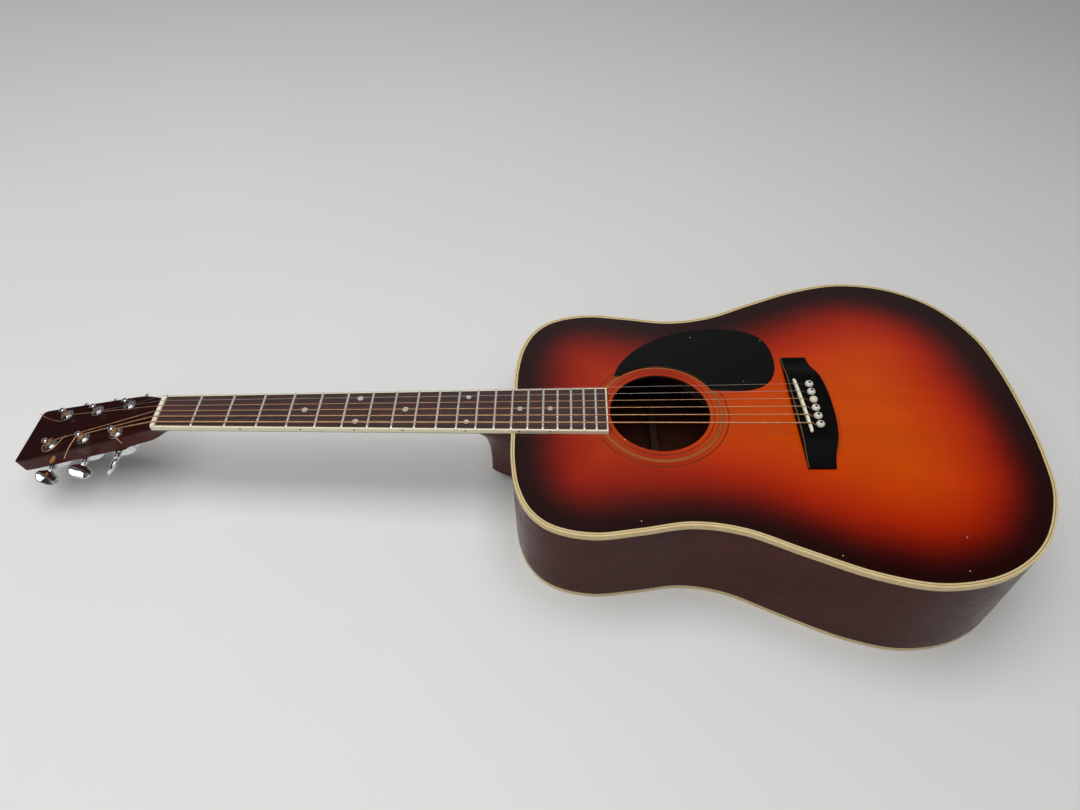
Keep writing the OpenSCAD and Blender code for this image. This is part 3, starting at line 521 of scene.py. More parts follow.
def plastic(name, base, vary=0.08, rough=(0.15, 0.3), dirt=None, bump=0.03, bevel=0.0, scale=120, spec=0.5):
    s = Sh(name)
    a = s.noise(s.coord((scale,) * 3), 1.0, 3, 0.55)
    c = s.mix(s.range(a, 0.3, 0.7), sc(base, 1 - vary), sc(base, 1 + vary))
    if dirt:
        dn = s.noise(s.coord((430, 430, 430)), 1.0, 4, 0.65)
        c = s.mix(s.range(dn, 0.58, 0.74, 0, 0.6), c, dirt)
    s.color(c)
    s.normal(s.bump(a, bump, 0.0005, s.bevel(bevel) if bevel else None))
    s.rough(s.range(s.noise(s.coord((90, 90, 90)), 1.0, 3, 0.6), 0.35, 0.7, rough[0], rough[1]))
    s.set(IOR=1.46, Specular_IOR_Level=spec)
    return s.m


M_BIND = plastic("cream_binding", lin(241, 233, 202), 0.04, (0.2, 0.36), lin(205, 188, 142))
M_BODYBIND = plastic("yellowed_binding", lin(223, 200, 147), 0.05, (0.2, 0.36), lin(186, 152, 96), spec=0.4)
M_STRIP = plastic("cream_strip_aged", lin(214, 196, 143), 0.06, (0.2, 0.36), lin(170, 136, 80))
M_LINE = plastic("dark_inlay", lin(112, 42, 14), 0.16, dirt=lin(70, 26, 12))
M_BONE = plastic("aged_bone", lin(242, 236, 212), 0.06, (0.3, 0.5), lin(190, 168, 122), 0.05, 0.0002)
M_PINW = plastic("pin_white", lin(226, 222, 210), 0.04, (0.16, 0.3), lin(176, 160, 130))
M_PINI = plastic("pin_ivory", lin(224, 214, 186), 0.05, (0.2, 0.35), lin(188, 168, 128))
M_DOTB = plastic("black_dot", lin(24, 21, 19), 0.1)
M_PEARL = plastic("pearl_dot", lin(196, 196, 190), 0.14, (0.2, 0.35), None, 0.02, 0.0, 700)

# black pickguard with hairline scratches and specks
s = Sh("pickguard_black")
sv = s.coord((40, 900, 40), (0, 0, 0.5))
scr = s.range(s.noise(sv, 1.0, 2, 0.5), 0.66, 0.70, 0, 1)
sv2 = s.coord((1000, 30, 40), (0, 0, 0.35))
scr2 = s.range(s.noise(sv2, 1.0, 2, 0.5), 0.68, 0.72, 0, 1)
scr = s.math("MAXIMUM", scr, scr2)
gone = s.range(s.noise(s.coord((16, 16, 16)), 1.0, 1), 0.5, 0.6)
scr = s.math("MULTIPLY", scr, gone)
c = s.mix(s.math("MULTIPLY", scr, 0.10), lin(6, 6, 5), lin(40, 38, 37))
GUARD_MARKS = []
for x, y, rx, ry in GUARDMARKS:
    q = rowxy(x, y)
    GUARD_MARKS.append((q[0], q[1], rx * 0.001, ry * 0.001, 0.4))
c, gs = spots(s, c, GUARD_MARKS, lin(150, 146, 140))
s.color(c)
s.normal(s.bump(s.noise(s.coord((12, 12, 12)), 1.0, 1), 0.05, 0.0006))
s.rough(s.range(s.noise(s.coord((30, 30, 30)), 1.0, 3, 0.5), 0.35, 0.7, 0.16, 0.24))
s.set(IOR=1.46, Specular_IOR_Level=0.3)
M_GUARD = s.m

# black bridge, worn satin
s = Sh("bridge_black")
g = s.noise(s.coord((300, 14, 300)), 1.0, 4, 0.6)
s.color(s.mix(s.range(g, 0.3, 0.7), lin(5, 4, 4), lin(11, 9, 9)))
s.normal(s.bump(g, 0.12, 0.0003))
s.rough(s.range(s.noise(s.coord((90, 90, 90)), 1.0, 4, 0.6), 0.35, 0.7, 0.36, 0.52))
s.set(IOR=1.48, Specular_IOR_Level=0.055)
M_BRIDGE = s.m
# light brown band along the bridge's front top edge: a painted highlight of the bevel
M_BRIDGE_EDGE_HIGHLIGHT = wood("bridge_edge_painted_highlight", lin(92, 74, 58), lin(176, 156, 128), (300, 40, 300), (0.4, 0.6), None, 0.2, spec=0.3)

# rope band of the rosette: slanted light and dark strands
s = Sh("rosette_rope")
sep = s.n("SeparateXYZ")
q0 = W((506, 0, 0))
s.link(s.coord(loc=(-q0.x, 0, 0)), sep.inputs[0])
ang = s.math("ARCTAN2", sep.outputs[1], sep.outputs[0])
rad = s.math("SQRT", s.math("ADD", s.math("MULTIPLY", sep.outputs[0], sep.outputs[0]), s.math("MULTIPLY", sep.outputs[1], sep.outputs[1])))
off = s.math("ABSOLUTE", s.math("SUBTRACT", s.math("MULTIPLY", rad, 1000.0), 61.5))
st = s.range(off, 0.45, 0.75, 0, 1)
strand = s.range(s.math("SINE", s.math("ADD", s.math("MULTIPLY", ang, 210.0), s.math("MULTIPLY", off, 2.0))), -0.4, 0.4)
lite = s.mix(strand, lin(180, 92, 30), lin(216, 132, 56))
c = s.mix(st, lin(122, 50, 16), lite)
c = s.mix(s.range(s.noise(s.coord((90, 90, 90)), 1.0, 3), 0.3, 0.7, 0, 0.45), c, lin(150, 74, 26))
s.color(c)
s.normal(s.bump(st, 0.04, 0.0002))
s.rough(s.range(s.noise(s.coord((60, 60, 60)), 1.0, 3), 0.35, 0.7, 0.12, 0.26))
M_ROPE = s.m


def metal(name, base, rough=(0.08, 0.22), metallic=1.0, bump=0.02, scale=300, stain=None, bevel=0.0):
    s = Sh(name)
    a = s.noise(s.coord((scale,) * 3), 1.0, 4, 0.6)
    c = s.mix(s.range(a, 0.3, 0.7), sc(base, 0.9), sc(base, 1.05))
    if stain:
        c = s.mix(s.range(s.noise(s.coord((520,) * 3), 1.0, 4, 0.65), 0.6, 0.75, 0, 0.5), c, stain)
    s.color(c)
    s.normal(s.bump(a, bump, 0.0003, s.bevel(bevel) if bevel else None))
    s.rough(s.range(s.noise(s.coord((200,) * 3), 1.0, 4, 0.6), 0.35, 0.7, rough[0], rough[1]))
    s.set(Metallic=metallic)
    return s.m


M_CHROME = metal("chrome_worn", (0.74, 0.75, 0.77), (0.05, 0.16), stain=(0.35, 0.33, 0.3))
M_CHROMEB = metal("chrome_bevelled", (0.74, 0.75, 0.77), (0.06, 0.18), stain=(0.35, 0.33, 0.3), bevel=0.0006)
M_FRET = metal("fret_nickel", (0.86, 0.85, 0.78), (0.46, 0.6), scale=90, stain=(0.5, 0.46, 0.38))
M_STEEL = metal("plain_wire", (0.46, 0.43, 0.40), (0.42, 0.52), bump=0.0, scale=60)
M_ROD = metal("rod_steel", (0.5, 0.5, 0.5), (0.35, 0.5))


def wound(name, pitch):
    s = Sh(name)
    al = s.attr("along")
    st = s.math("SINE", s.math("MULTIPLY", al, 2 * math.pi / pitch))
    a = s.noise(s.coord((160,) * 3), 1.0, 4, 0.65)
    c = s.mix(s.range(a, 0.3, 0.7), (0.50, 0.27, 0.14), (0.76, 0.46, 0.25))
    s.color(c)
    s.normal(s.bump(st, 0.25, 0.0001))
    s.rough(s.range(a, 0.3, 0.7, 0.42, 0.56))
    s.set(Metallic=1.0)
    return s.m


M_WOUND = wound("bronze_wound", 0.5)

# ------------------------------------------------------------------ body: top, back, sides, bindings
PURF = 4.0


def plate(name, d, z_top, z_bot, mats, hole=None, step=6.0, reps=(), slot_name=None, wall=0):
    loop = inset(d)
    loops = [loop]
    if hole:
        a = np.linspace(0, 2 * math.pi, 144, endpoint=False)
        loops.append(np.column_stack([506 + hole * np.cos(a), hole * np.sin(a)])[::-1])
    pts, edges = [], []
    for lp in loops:
        b = len(pts)
        pts += [tuple(q) for q in lp]
        edges += [(b + i, b + (i + 1) % len(lp)) for i in range(len(lp))]
    nb = len(pts)
    xs = np.arange(360, 866, step)
    ys = np.arange(-192, 193, step)
    for i, x in enumerate(xs):
        for y in ys:
            q = np.array([x, y + (step / 2 if i % 2 else 0)])
            dd = np.min(np.hypot(*(OUT - q).T))
            if dd < d + step * 0.6 or not inside(q):
                continue
            if hole and math.hypot(q[0] - 506, q[1]) < hole + step * 0.6:
                continue
            pts.append(tuple(q))
    res = delaunay_2d_cdt([Vector(p) for p in pts], edges, [], 0, 1e-5)
    v2 = np.array([tuple(p) for p in res[0]])
    keep = []
    for f in res[2]:
        c = v2[list(f)].mean(0)
        if not inside(c) or (hole and math.hypot(c[0] - 506, c[1]) < hole - 0.05):
            continue
        if np.min(np.hypot(*(OUT - c).T)) < d - 0.3:
            continue
        keep.append(tuple(f))
    n = len(v2)
    ed = [min(np.hypot(*(OUT - q).T)) for q in v2]
    verts = [(q[0], q[1], z_top(q[0])) for q in v2] + [(q[0], q[1], z_bot(q[0])) for q in v2]
    faces = [f for f in keep] + [tuple(n + i for i in reversed(f)) for f in keep]
    fms = [0] * len(faces)
    cnt = {}
    for f in keep:
        for k in range(len(f)):
            e = (f[k], f[(k + 1) % len(f)])
            cnt[e] = cnt.get(e, 0) + 1
    for (a, b) in cnt:
        if (b, a) not in cnt:
            faces.append((a, b, n + b, n + a))
            fms.append(wall)
    e2 = [x * 0.001 for x in ed]
    return make(name, verts, faces, mats, reps=reps, slot_name=slot_name, angle=30, attrs={"edge": e2 + e2}, face_mats=fms)


from mathutils.geometry import intersect_point_tri_2d  # noqa: E402


def inside(q):
    x, y = q
    yy = abs(y)
    # the half outline as a function: count crossings
    p1, p2 = OUT, np.roll(OUT, -1, 0)
    c = ((p1[:, 1] > y) != (p2[:, 1] > y)) & (x < (p2[:, 0] - p1[:, 0]) * (y - p1[:, 1]) / (p2[:, 1] - p1[:, 1] + 1e-12) + p1[:, 0])
    return bool(np.count_nonzero(c) % 2)


# the top's edge faces, the soundhole's rim among them, take the spruce with painted shade
plate("top", PURF, lambda x: 0.0, lambda x: -2.8, [M_TOP, M_SPRUCE_PAINTED_SHADE], wall=1, hole=50, reps=("top_plate",), slot_name="top_wood")
plate("back", 1.7, lambda x: back_z(x, 2.6), lambda x: back_z(x, 0.0), M_BACK, step=12.0, reps=("back_plate",), slot_name="mahogany")


def rim(name, prof, mat, reps=(), slot_name=None, angle=40, keep_mat=True):
    """a closed profile [(inset, z function)] swept round the outline"""
    rows, arc, hgt = [], [], []
    for i in range(NO):
        p, nrm = OUT[i], OUT_N[i]
        row = []
        for d, z in prof:
            q = p - nrm * d
            zz = z(q[0]) if callable(z) else z
            row.append((q[0], q[1], zz))
            arc.append(min(OUT_S[i], OUT_L - OUT_S[i]) * 0.001)
            hgt.append(zz * 0.001)
        rows.append(row)
    g = Geo()
    m = len(prof)
    g.add([p for r in rows for p in r], grid_faces(NO, m, close_u=True, close_v=True), arc=arc, hgt=hgt)
    return g.make(name, mat, reps=reps, slot_name=slot_name, angle=angle)


BH = 6.5
R = 0.9
bind_prof = [(0.02, -BH), (0.0, -BH + 0.3), (0.0, -2.6), (0.0, -R)] + \
    [(R - R * math.cos(a), -R + R * math.sin(a)) for a in (0.35, 0.75, 1.15)] + [(R, 0.0), (1.8, 0.01), (1.8, -BH)]
rim("top_binding_smooth", bind_prof, M_BODYBIND, ("top_binding",), "binding", 35)
rim("purfling_line_smooth", [(1.8, 0.01), (2.3, 0.01), (2.3, -1.4), (1.8, -1.4)], M_LINE, ("purfling_line",), "dark_line", 35)
rim("purfling_strip_smooth", [(2.3, 0.01), (4.0, 0.01), (4.0, -1.4), (2.3, -1.4)], M_STRIP, ("purfling_strip",), "binding", 35)
zb = lambda h: (lambda x: back_z(x, h))
back_prof = [(0.0, zb(5.5)), (0.0, zb(R)), (0.12, zb(0.5)), (0.4, zb(0.14)), (R, zb(0.0)), (1.8, zb(0.0)), (1.8, zb(5.5))]
rim("back_binding_smooth", back_prof, M_BODYBIND, ("back_binding",), "binding", 35)
side_prof = [(0.03 if k not in (0, 20) else 0.08, (lambda t: (lambda x: -BH * (1 - t) + back_z(x, 5.5) * t))(k / 20)) for k in range(21)]
side_prof += [(2.5, zb(5.5)), (2.5, -2.9), (1.85, -2.9), (1.85, -BH)]
rim("side_shell", side_prof, M_SIDE, ("side_bass", "side_treble"), "mahogany", 40)

# ------------------------------------------------------------------ rosette and soundhole
def flat_ring(name, r0, r1, mat, z=0.03, reps=(), slot_name=None, parts=None):
    g = Geo()
    for a0, a1 in (parts or [(r0, r1)]):
        rows = []
        for k in range(288):
            t = 2 * math.pi * k / 288
            c, q = math.cos(t), math.sin(t)
            rows.append([(506 + a0 * c, a0 * q, -0.6), (506 + a0 * c, a0 * q, z), (506 + a1 * c, a1 * q, z), (506 + a1 * c, a1 * q, -0.6)])
        g.add([p for r in rows for p in r], grid_faces(288, 4, close_u=True, close_v=True))
    return g.make(name, mat, reps=reps, slot_name=slot_name, angle=30)


flat_ring("rosette_dark_rings", 0, 0, M_LINE, reps=("rosette_lines",), slot_name="dark_line",
          parts=[(53.9, 55.1), (59.2, 60.0), (63.0, 63.8), (67.7, 69.0)])
flat_ring("rosette_rope_band", 60.0, 63.0, M_ROPE, reps=("rosette_band",), slot_name="rope_band")

# ------------------------------------------------------------------ pickguard
GUARD = [(561, 28.5), (586, 27.2), (604, 29.2), (618, 36.2), (627.5, 48.5), (631.5, 67), (629.5, 89), (620.5, 105.5),
         (603.5, 115), (580.5, 118.7), (556.5, 117.4), (532.5, 112.5), (508, 102.3), (484, 84.5), (469, 66), (462, 49)]
gp = [tuple(q) for q in catmull(GUARD, 10)]
gp += [(506 + 62 * math.cos(math.radians(a)), 62 * math.sin(math.radians(a))) for a in np.arange(128, 30, -1.5)]
gp, _, _ = resample(gp, 320)
area = 0.5 * np.sum(gp[:, 0] * np.roll(gp[:, 1], -1) - np.roll(gp[:, 0], -1) * gp[:, 1])
if area < 0:
    gp = gp[::-1]
gn = normals2(gp)          # inward for an anticlockwise loop
g = Geo()
prof = [(0.0, 0.0), (0.0, 0.75), (0.12, 1.05), (0.38, 1.24), (0.8, 1.3), (1.3, 1.3)]
rows = [[(*(gp[i] + gn[i] * d), z) for d, z in prof] for i in range(len(gp))]
m = len(prof)
g.add([p for r in rows for p in r], grid_faces(len(gp), m, close_u=True))
g.f.append(tuple(i * m + m - 1 for i in range(len(gp)))); g.fm.append(0)
g.f.append(tuple(i * m for i in reversed(range(len(gp))))); g.fm.append(0)
g.make("pickguard_smooth", M_GUARD, reps=("pickguard",), slot_name="guard_black", angle=25)

# ------------------------------------------------------------------ bridge
BHL, BRH, WING = 72.0, 9.5, 3.4
rear = catmull([(664.2, 72), (665, 66), (666.2, 60), (668, 53), (670.4, 45), (672.5, 36), (674.2, 25), (675.2, 12), (675.4, 0)], 8)[::-1]
prof_y = catmull([(0, BRH), (30, BRH), (37, BRH), (41, BRH - 0.1), (45, BRH - 0.8), (49, WING + 4.3), (54, WING + 2.6), (60, WING + 1.1), (66, WING + 0.3), (72, WING)], 8)


def rear_x(y):
    return float(np.interp(abs(y), rear[:, 1], rear[:, 0]))


def top_h(y):
    return float(np.interp(abs(y), prof_y[:, 0], prof_y[:, 1]))


ysb = np.concatenate([[-72, -71.7, -71.2], np.linspace(-70, 70, 113), [71.2, 71.7, 72]])
us = [0, 0.012, 0.035, 0.06] + list(np.linspace(0.1, 0.9, 15)) + [0.955, 0.98, 0.993, 1.0]
rows = []
for y in ysb:
    x0, x1 = 638.4, rear_x(y)
    hy = top_h(y)
    endcut = max(0.0, (abs(y) - 71.2) / 0.8) ** 2 * 0.5
    row = [(x0, y, 0.0)]
    for u in us:
        x = x0 + (x1 - x0) * u
        f = x - x0
        b = x1 - x
        z = hy - endcut
        if hy > 6:
            z -= max(0, 1.15 - f) * 1.0
        else:
            z -= max(0, 0.7 - f) * 0.9
        z -= 0.9 * max(0, 1 - b / 1.0) ** 2
        row.append((x, y, z))
    row.append((x1, y, 0.0))
    rows.append(row)
g = Geo()
rings(g, rows)
m_ = len(rows[0])
# the one row of faces on the front chamfer gets the painted bevel highlight
g.fm = [1 if k < (len(rows) - 1) * m_ and k % m_ == 1 else 0 for k in range(len(g.f))]
bridge = g.make("bridge_block", [M_BRIDGE, M_BRIDGE_EDGE_HIGHLIGHT], reps=("bridge",), slot_name="ebonised", angle=28)


def cutter(name, verts, faces):
    me = bpy.data.meshes.new(name)
    me.from_pydata([tuple(W(v)) for v in verts], [], faces)
    bm = bmesh.new(); bm.from_mesh(me); bmesh.ops.recalc_face_normals(bm, faces=bm.faces); bm.to_mesh(me); bm.free()
    o = bpy.data.objects.new(name, me)
    bpy.context.scene.collection.objects.link(o)
    return o


def boolean(o, cutters, op="DIFFERENCE"):
    for c in cutters:
        md = o.modifiers.new("cut", "BOOLEAN")
        md.operation = op
        md.object = c
        md.solver = "EXACT"
    bpy.context.view_layer.update()
    dg = bpy.context.evaluated_depsgraph_get()
    me = bpy.data.meshes.new_from_object(o.evaluated_get(dg))
    o.modifiers.clear()
    o.data = me
    for c in cutters:
        bpy.data.objects.remove(c)
    return o


PIN_X, DROP_X, PIN_GAP = 657.0, 652.7, 10.5
pin_y = lambda i: (3.5 - i) * PIN_GAP
sl = Geo()
ca, sa = math.cos(math.radians(3.43)), math.sin(math.radians(3.43))
pts = []
for z in (4.6, 20):
    for a, b in ((-1.55, -35.1), (1.55, -35.1), (1.55, 35.1), (-1.55, 35.1)):
        pts.append((645.7 + a * ca - b * sa, a * sa + b * ca, z))
cuts = [cutter("c_saddle", pts, [(0, 3, 2, 1), (4, 5, 6, 7), (0, 1, 5, 4), (1, 2, 6, 5), (2, 3, 7, 6), (3, 0, 4, 7)])]
for i in range(1, 7):
    a = [math.radians(t) for t in range(-150, 151, 12)]
    loop = [(PIN_X + 2.75 * math.cos(t), pin_y(i) + 2.75 * math.sin(t)) for t in a]
    loop += [(DROP_X - 1.1, pin_y(i) + 0.95), (DROP_X - 1.1, pin_y(i) - 0.95)]
    n = len(loop)
    cuts.append(cutter("c_pin", [(x, y, 2.0) for x, y in loop] + [(x, y, 20) for x, y in loop],
                       [tuple(reversed(range(n))), tuple(range(n, 2 * n))] + [(k, (k + 1) % n, n + (k + 1) % n, n + k) for k in range(n)]))
boolean(bridge, cuts)
bridge.data.shade_smooth()
bridge.data.set_sharp_from_angle(angle=math.radians(28))
if not bridge.data.materials:
    bridge.data.materials.append(M_BRIDGE)

# ------------------------------------------------------------------ saddle, pins
g = Geo()
rows = []
SD = [0.30, 0.42, 0.62, 0.82, 1.08, 1.34]
for y in np.linspace(-35, 35, 141):
    zc = 13.0 - y * y / 800
    for i in range(1, 7):
        ys_ = pin_y(i) * 0.985
        zc -= 0.22 * math.exp(-((y - ys_) / (0.35 + SD[i - 1] * 0.5)) ** 2)
    zc -= max(0.0, (abs(y) - 31) / 4) ** 2 * 1.3
    wf = 1.0 if abs(y) < 33.2 else math.sqrt(max(0.08, 1 - ((abs(y) - 33.2) / 1.85) ** 2))
    row = []
    for a, z in ((-1.5, 5.0), (-1.5, zc - 0.75), (-1.25, zc - 0.35), (-0.75, zc - 0.08), (0, zc), (0.75, zc - 0.12), (1.25, zc - 0.45), (1.5, zc - 0.95), (1.5, 5.0)):
        row.append((645.7 + a * wf * ca - y * sa, a * wf * sa + y * ca, z))
    rows.append(row)
rings(g, rows)
g.make("saddle_bone", M_BONE, reps=("saddle",), slot_name="bone", angle=35)

PIN_PROF = [(0.0, -13), (1.5, -13), (1.9, -12.4), (2.45, -3), (2.45, 10.0), (3.55, 10.12), (3.95, 10.45), (4.1, 11.0), (4.1, 11.6),
            (3.95, 12.2), (3.6, 12.9), (3.1, 13.5), (2.45, 13.95), (1.7, 14.25), (0.9, 14.42), (0.0, 14.47)]
DOT_PROF = [(0.0, 14.0), (1.45, 14.0), (1.5, 14.3), (1.35, 14.42), (0.8, 14.49), (0.0, 14.5)]
gw, go, gd = Geo(), Geo(), Geo()
TILT = {1: (0.03, -0.02), 2: (-0.02, 0.03), 3: (0.05, 0.04), 4: (0.0, -0.03), 5: (-0.03, 0.0), 6: (0.02, 0.03)}
for i in range(1, 7):
    tx, ty = TILT[i]

    def pl(x, y, z, i=i, tx=tx, ty=ty):
        return (PIN_X + x + (z - 9.5) * tx * 0.35, pin_y(i) + y + (z - 9.5) * ty * 0.35, z)
    revolve(go if i == 3 else gw, PIN_PROF, pl, 40)
    if i != 3:
        revolve(gd, DOT_PROF, pl, 28)
gw.make("bridge_pins_turned", M_PINW, reps=("bridge_pins",), slot_name="pin_white", angle=50)
go.make("bridge_pin_ivory", M_PINI, reps=("bridge_pin_odd",), slot_name="pin_ivory", angle=50)
gd.make("pin_dots", M_DOTB, slot_name="dot_black", angle=50)

# ------------------------------------------------------------------ fretboard, binding, frets, dots, nut
BE, BBW, BT = 453.5, 1.6, 6.0
bw = lambda x: 42 + 15.5 * x / BE
fx = lambda n: 645 * (1 - 2 ** (-n / 12))
cam_z = lambda y: BT - y * y / 800
g = Geo()
rows = []
for x in np.linspace(0.0, BE - BBW, 90):
    w = bw(x) / 2 - BBW
    row = [(x, -w, 0.0)] + [(x, w * t, cam_z(w * t)) for t in np.linspace(-1, 1, 21)] + [(x, w, 0.0)]
    rows.append(row)
rings(g, rows)
g.make("fretboard_rosewood", M_ROSE, reps=("fretboard",), slot_name="rosewood", angle=30)

# binding: one U-shaped strip, rounded along its outer top edge
path = [(x, -bw(x) / 2) for x in np.linspace(0.0, BE, 70)]
path += [(BE, y) for y in np.linspace(-bw(BE) / 2, bw(BE) / 2, 24)[1:]]
path += [(x, bw(x) / 2) for x in np.linspace(BE, 0.0, 70)[1:]]
inn = [(x, -bw(x) / 2 + BBW) for x in np.linspace(0.0, BE - BBW, 70)]
inn += [(BE - BBW, y) for y in np.linspace(-bw(BE) / 2 + BBW, bw(BE) / 2 - BBW, 24)[1:]]
inn += [(x, bw(x) / 2 - BBW) for x in np.linspace(BE - BBW, 0.0, 70)[1:]]
g = Geo()
rows = []
for (ax, ay), (bx, by) in zip(path, inn):
    def at(t, dz):
        x, y = ax + (bx - ax) * t, ay + (by - ay) * t
        return (x, y, cam_z(y) + dz)
    rows.append([(ax, ay, 0.0), at(0, -0.7), at(0.05, -0.35), at(0.2, -0.08), at(0.42, 0.0), at(1, 0.0), (bx, by, 0.0)])
rings(g, rows)
g.make("board_binding_cream", M_BIND, reps=("board_binding",), slot_name="binding", angle=35)

g = Geo()
for n in range(1, 21):
    x = fx(n)
    w = bw(x) / 2 - 0.25
    rows = []
    wear = 0.12 if n <= 5 else 0.04
    for t in np.r_[-1.0, -0.995, -0.985, -0.965, np.linspace(-0.93, 0.93, 27), 0.965, 0.985, 0.995, 1.0]:
        y = w * t
        end = max(0.0, (abs(t) - 0.93) / 0.07)
        hgt = 1.0 * (1 - end ** 2.2 * 0.95) + 0.02
        for i in range(1, 7):
            yn = (3.5 - i) * 7.1 + 1.2
            ys_ = yn + (pin_y(i) * 0.985 - yn) * x / 645
            hgt -= wear * math.exp(-((y - ys_) / 0.8) ** 2) * (1 - end)
        zb_ = cam_z(y)
        row = [(x - 1.2, y, zb_ - 0.25)]
        for a in np.linspace(math.pi, 0, 9):
            row.append((x + 1.2 * math.cos(a), y, zb_ + hgt * math.sin(a) ** 0.8 if 0 < a < math.pi else zb_))
        row.append((x + 1.2, y, zb_ - 0.25))
        rows.append(row)
    rings(g, rows)
g.make("frets_crowned", M_FRET, reps=("frets",), slot_name="fret_nickel", angle=50)

g = Geo()
for n, y, dr in ((5, 0, 3), (7, -15.3, 3), (7, 15.3, 3), (9, 0, 3), (12, -16.3, 2.6), (12, 16.3, 2.6), (15, 0, 2.6), (17, 0, 2.6)):
    x = (fx(n) + fx(n - 1)) / 2
    revolve(g, [(0.0, 4.5), (dr, 4.5), (dr, 0.06), (dr - 0.15, 0.09), (0.0, 0.09)],
            lambda a, b, z, x=x, y=y: (x + a, y + b, cam_z(y + b) + z if z < 1 else 5.0), 40)
g.make("face_dots_pearl", M_PEARL, reps=("face_dots",), slot_name="pearl", angle=40)
g = Geo()
for n in (3, 5, 7, 9, 12, 15, 17):
    x = (fx(n) + fx(n - 1)) / 2
    y = -bw(x) / 2
    revolve(g, [(0.0, 0.8), (1.0, 0.8), (1.0, -0.03), (0.85, -0.05), (0.0, -0.05)], lambda a, b, z, x=x, y=y: (x + a, y + z, 3.2 + b), 24)
g.make("side_dots_black", M_DOTB, reps=("side_dots",), slot_name="dot_black", angle=40)

# ------------------------------------------------------------------ neck and headstock, one skin
DN0, DN1 = 13.5, 15.5
ndep = lambda x: DN0 + (DN1 - DN0) * max(0.0, x) / 300
HT = [(0, 21), (6, 22.3), (14, 25.2), (22, 27.6), (30, 29), (45, 29.8), (80, 30.5), (120, 31.5), (146, 31.9), (150, 31.7), (153, 30.6), (154.5, 28.9), (155, 26.5)]
HB = [(0, 21), (6, 21.2), (14, 21.7), (23, 23), (33, 24.9), (45, 26.8), (60, 28.5), (80, 30.1), (100, 31.7), (122, 33.6), (140, 34.9), (152, 35.25), (154.5, 35.1), (155.6, 34.6), (156.1, 33.9)]
HTc, HBc = catmull(HT, 10), catmull(HB, 10)
ht = lambda s_: float(np.interp(s_, HTc[:, 0], HTc[:, 1]))
hb = lambda s_: float(np.interp(s_, HBc[:, 0], HBc[:, 1]))


def shape_d(wl, wr, d, m):
    a = np.linspace(0, math.pi, 200)
    sg = lambda v, e: np.sign(v) * np.abs(v) ** e
    x = -sg(np.cos(a), 1.3)
    y = np.where(x < 0, x * wl, x * wr)
    z = -d * np.abs(np.sin(a)) ** 1.5
    return resample(np.column_stack([y, z]), m, closed=False)[0]


def shape_r(wl, wr, d, m, r=1.3):
    pts = [(-wl, 0.0), (-wl, -d + r)]
    pts += [(-wl + r - r * math.cos(t), -d + r - r * math.sin(t)) for t in np.linspace(0, math.pi / 2, 7)[1:]]
    pts += [(wr - r + r * math.sin(t), -d + r - r * math.cos(t)) for t in np.linspace(0, math.pi / 2, 7)]
    pts += [(wr, 0.0)]
    return resample(np.array(pts), m, closed=False)[0]


MR = 73
stations = []
for x in list(np.linspace(357.3, 40, 46)) + [32, 25, 19, 14]:
    stations.append(((x, 0, 0), 0.0, bw(x) / 2, bw(x) / 2, ndep(x), 0.0, None))
for x, til, wv, dv, q in ((11, 0.4, 21.3, 13.7, 0.02), (8, 1.0, 21.2, 14.2, 0.06), (5, 2.0, 21.15, 15.0, 0.13), (2.5, 3.2, 21.1, 15.7, 0.21),
                          (0, 4.6, 21.02, 16.5, 0.30), (-2.5, 6.2, 21.0, 17.2, 0.40)):
    stations.append(((x, 0, 0), til, wv, wv, dv, q, None))
for s_, til, dv, q in ((0.2, 7.8, 17.6, 0.49), (3, 9.4, 17.6, 0.60), (6, 10.7, 17.4, 0.70), (9, 11.6, 17.0, 0.79), (12, 12.2, 16.5, 0.87),
                       (15.5, 12.6, 15.9, 0.94), (19, 12.7, 15.3, 0.98), (23, 12.7, 15.0, 1.0)):
    stations.append((tuple(head(-s_, 0, -2)), til, hb(s_), ht(s_), dv, q, s_))
ss = list(np.arange(27, 106, 3.0)) + list(np.arange(106, 130, 0.6)) + list(np.arange(130.5, 150, 2.2)) + [150.5, 152, 153, 153.8, 154.4, 154.8, 155.0]
for s_ in ss:
    r_end = max(0.0, (s_ - 153.6) / 1.4)
    stations.append((tuple(head(-s_, 0, -2)), 12.7, hb(s_), ht(s_), 15.0 - 0.6 * r_end ** 2, 1.0, s_))
rows, chipa, al = [], [], []
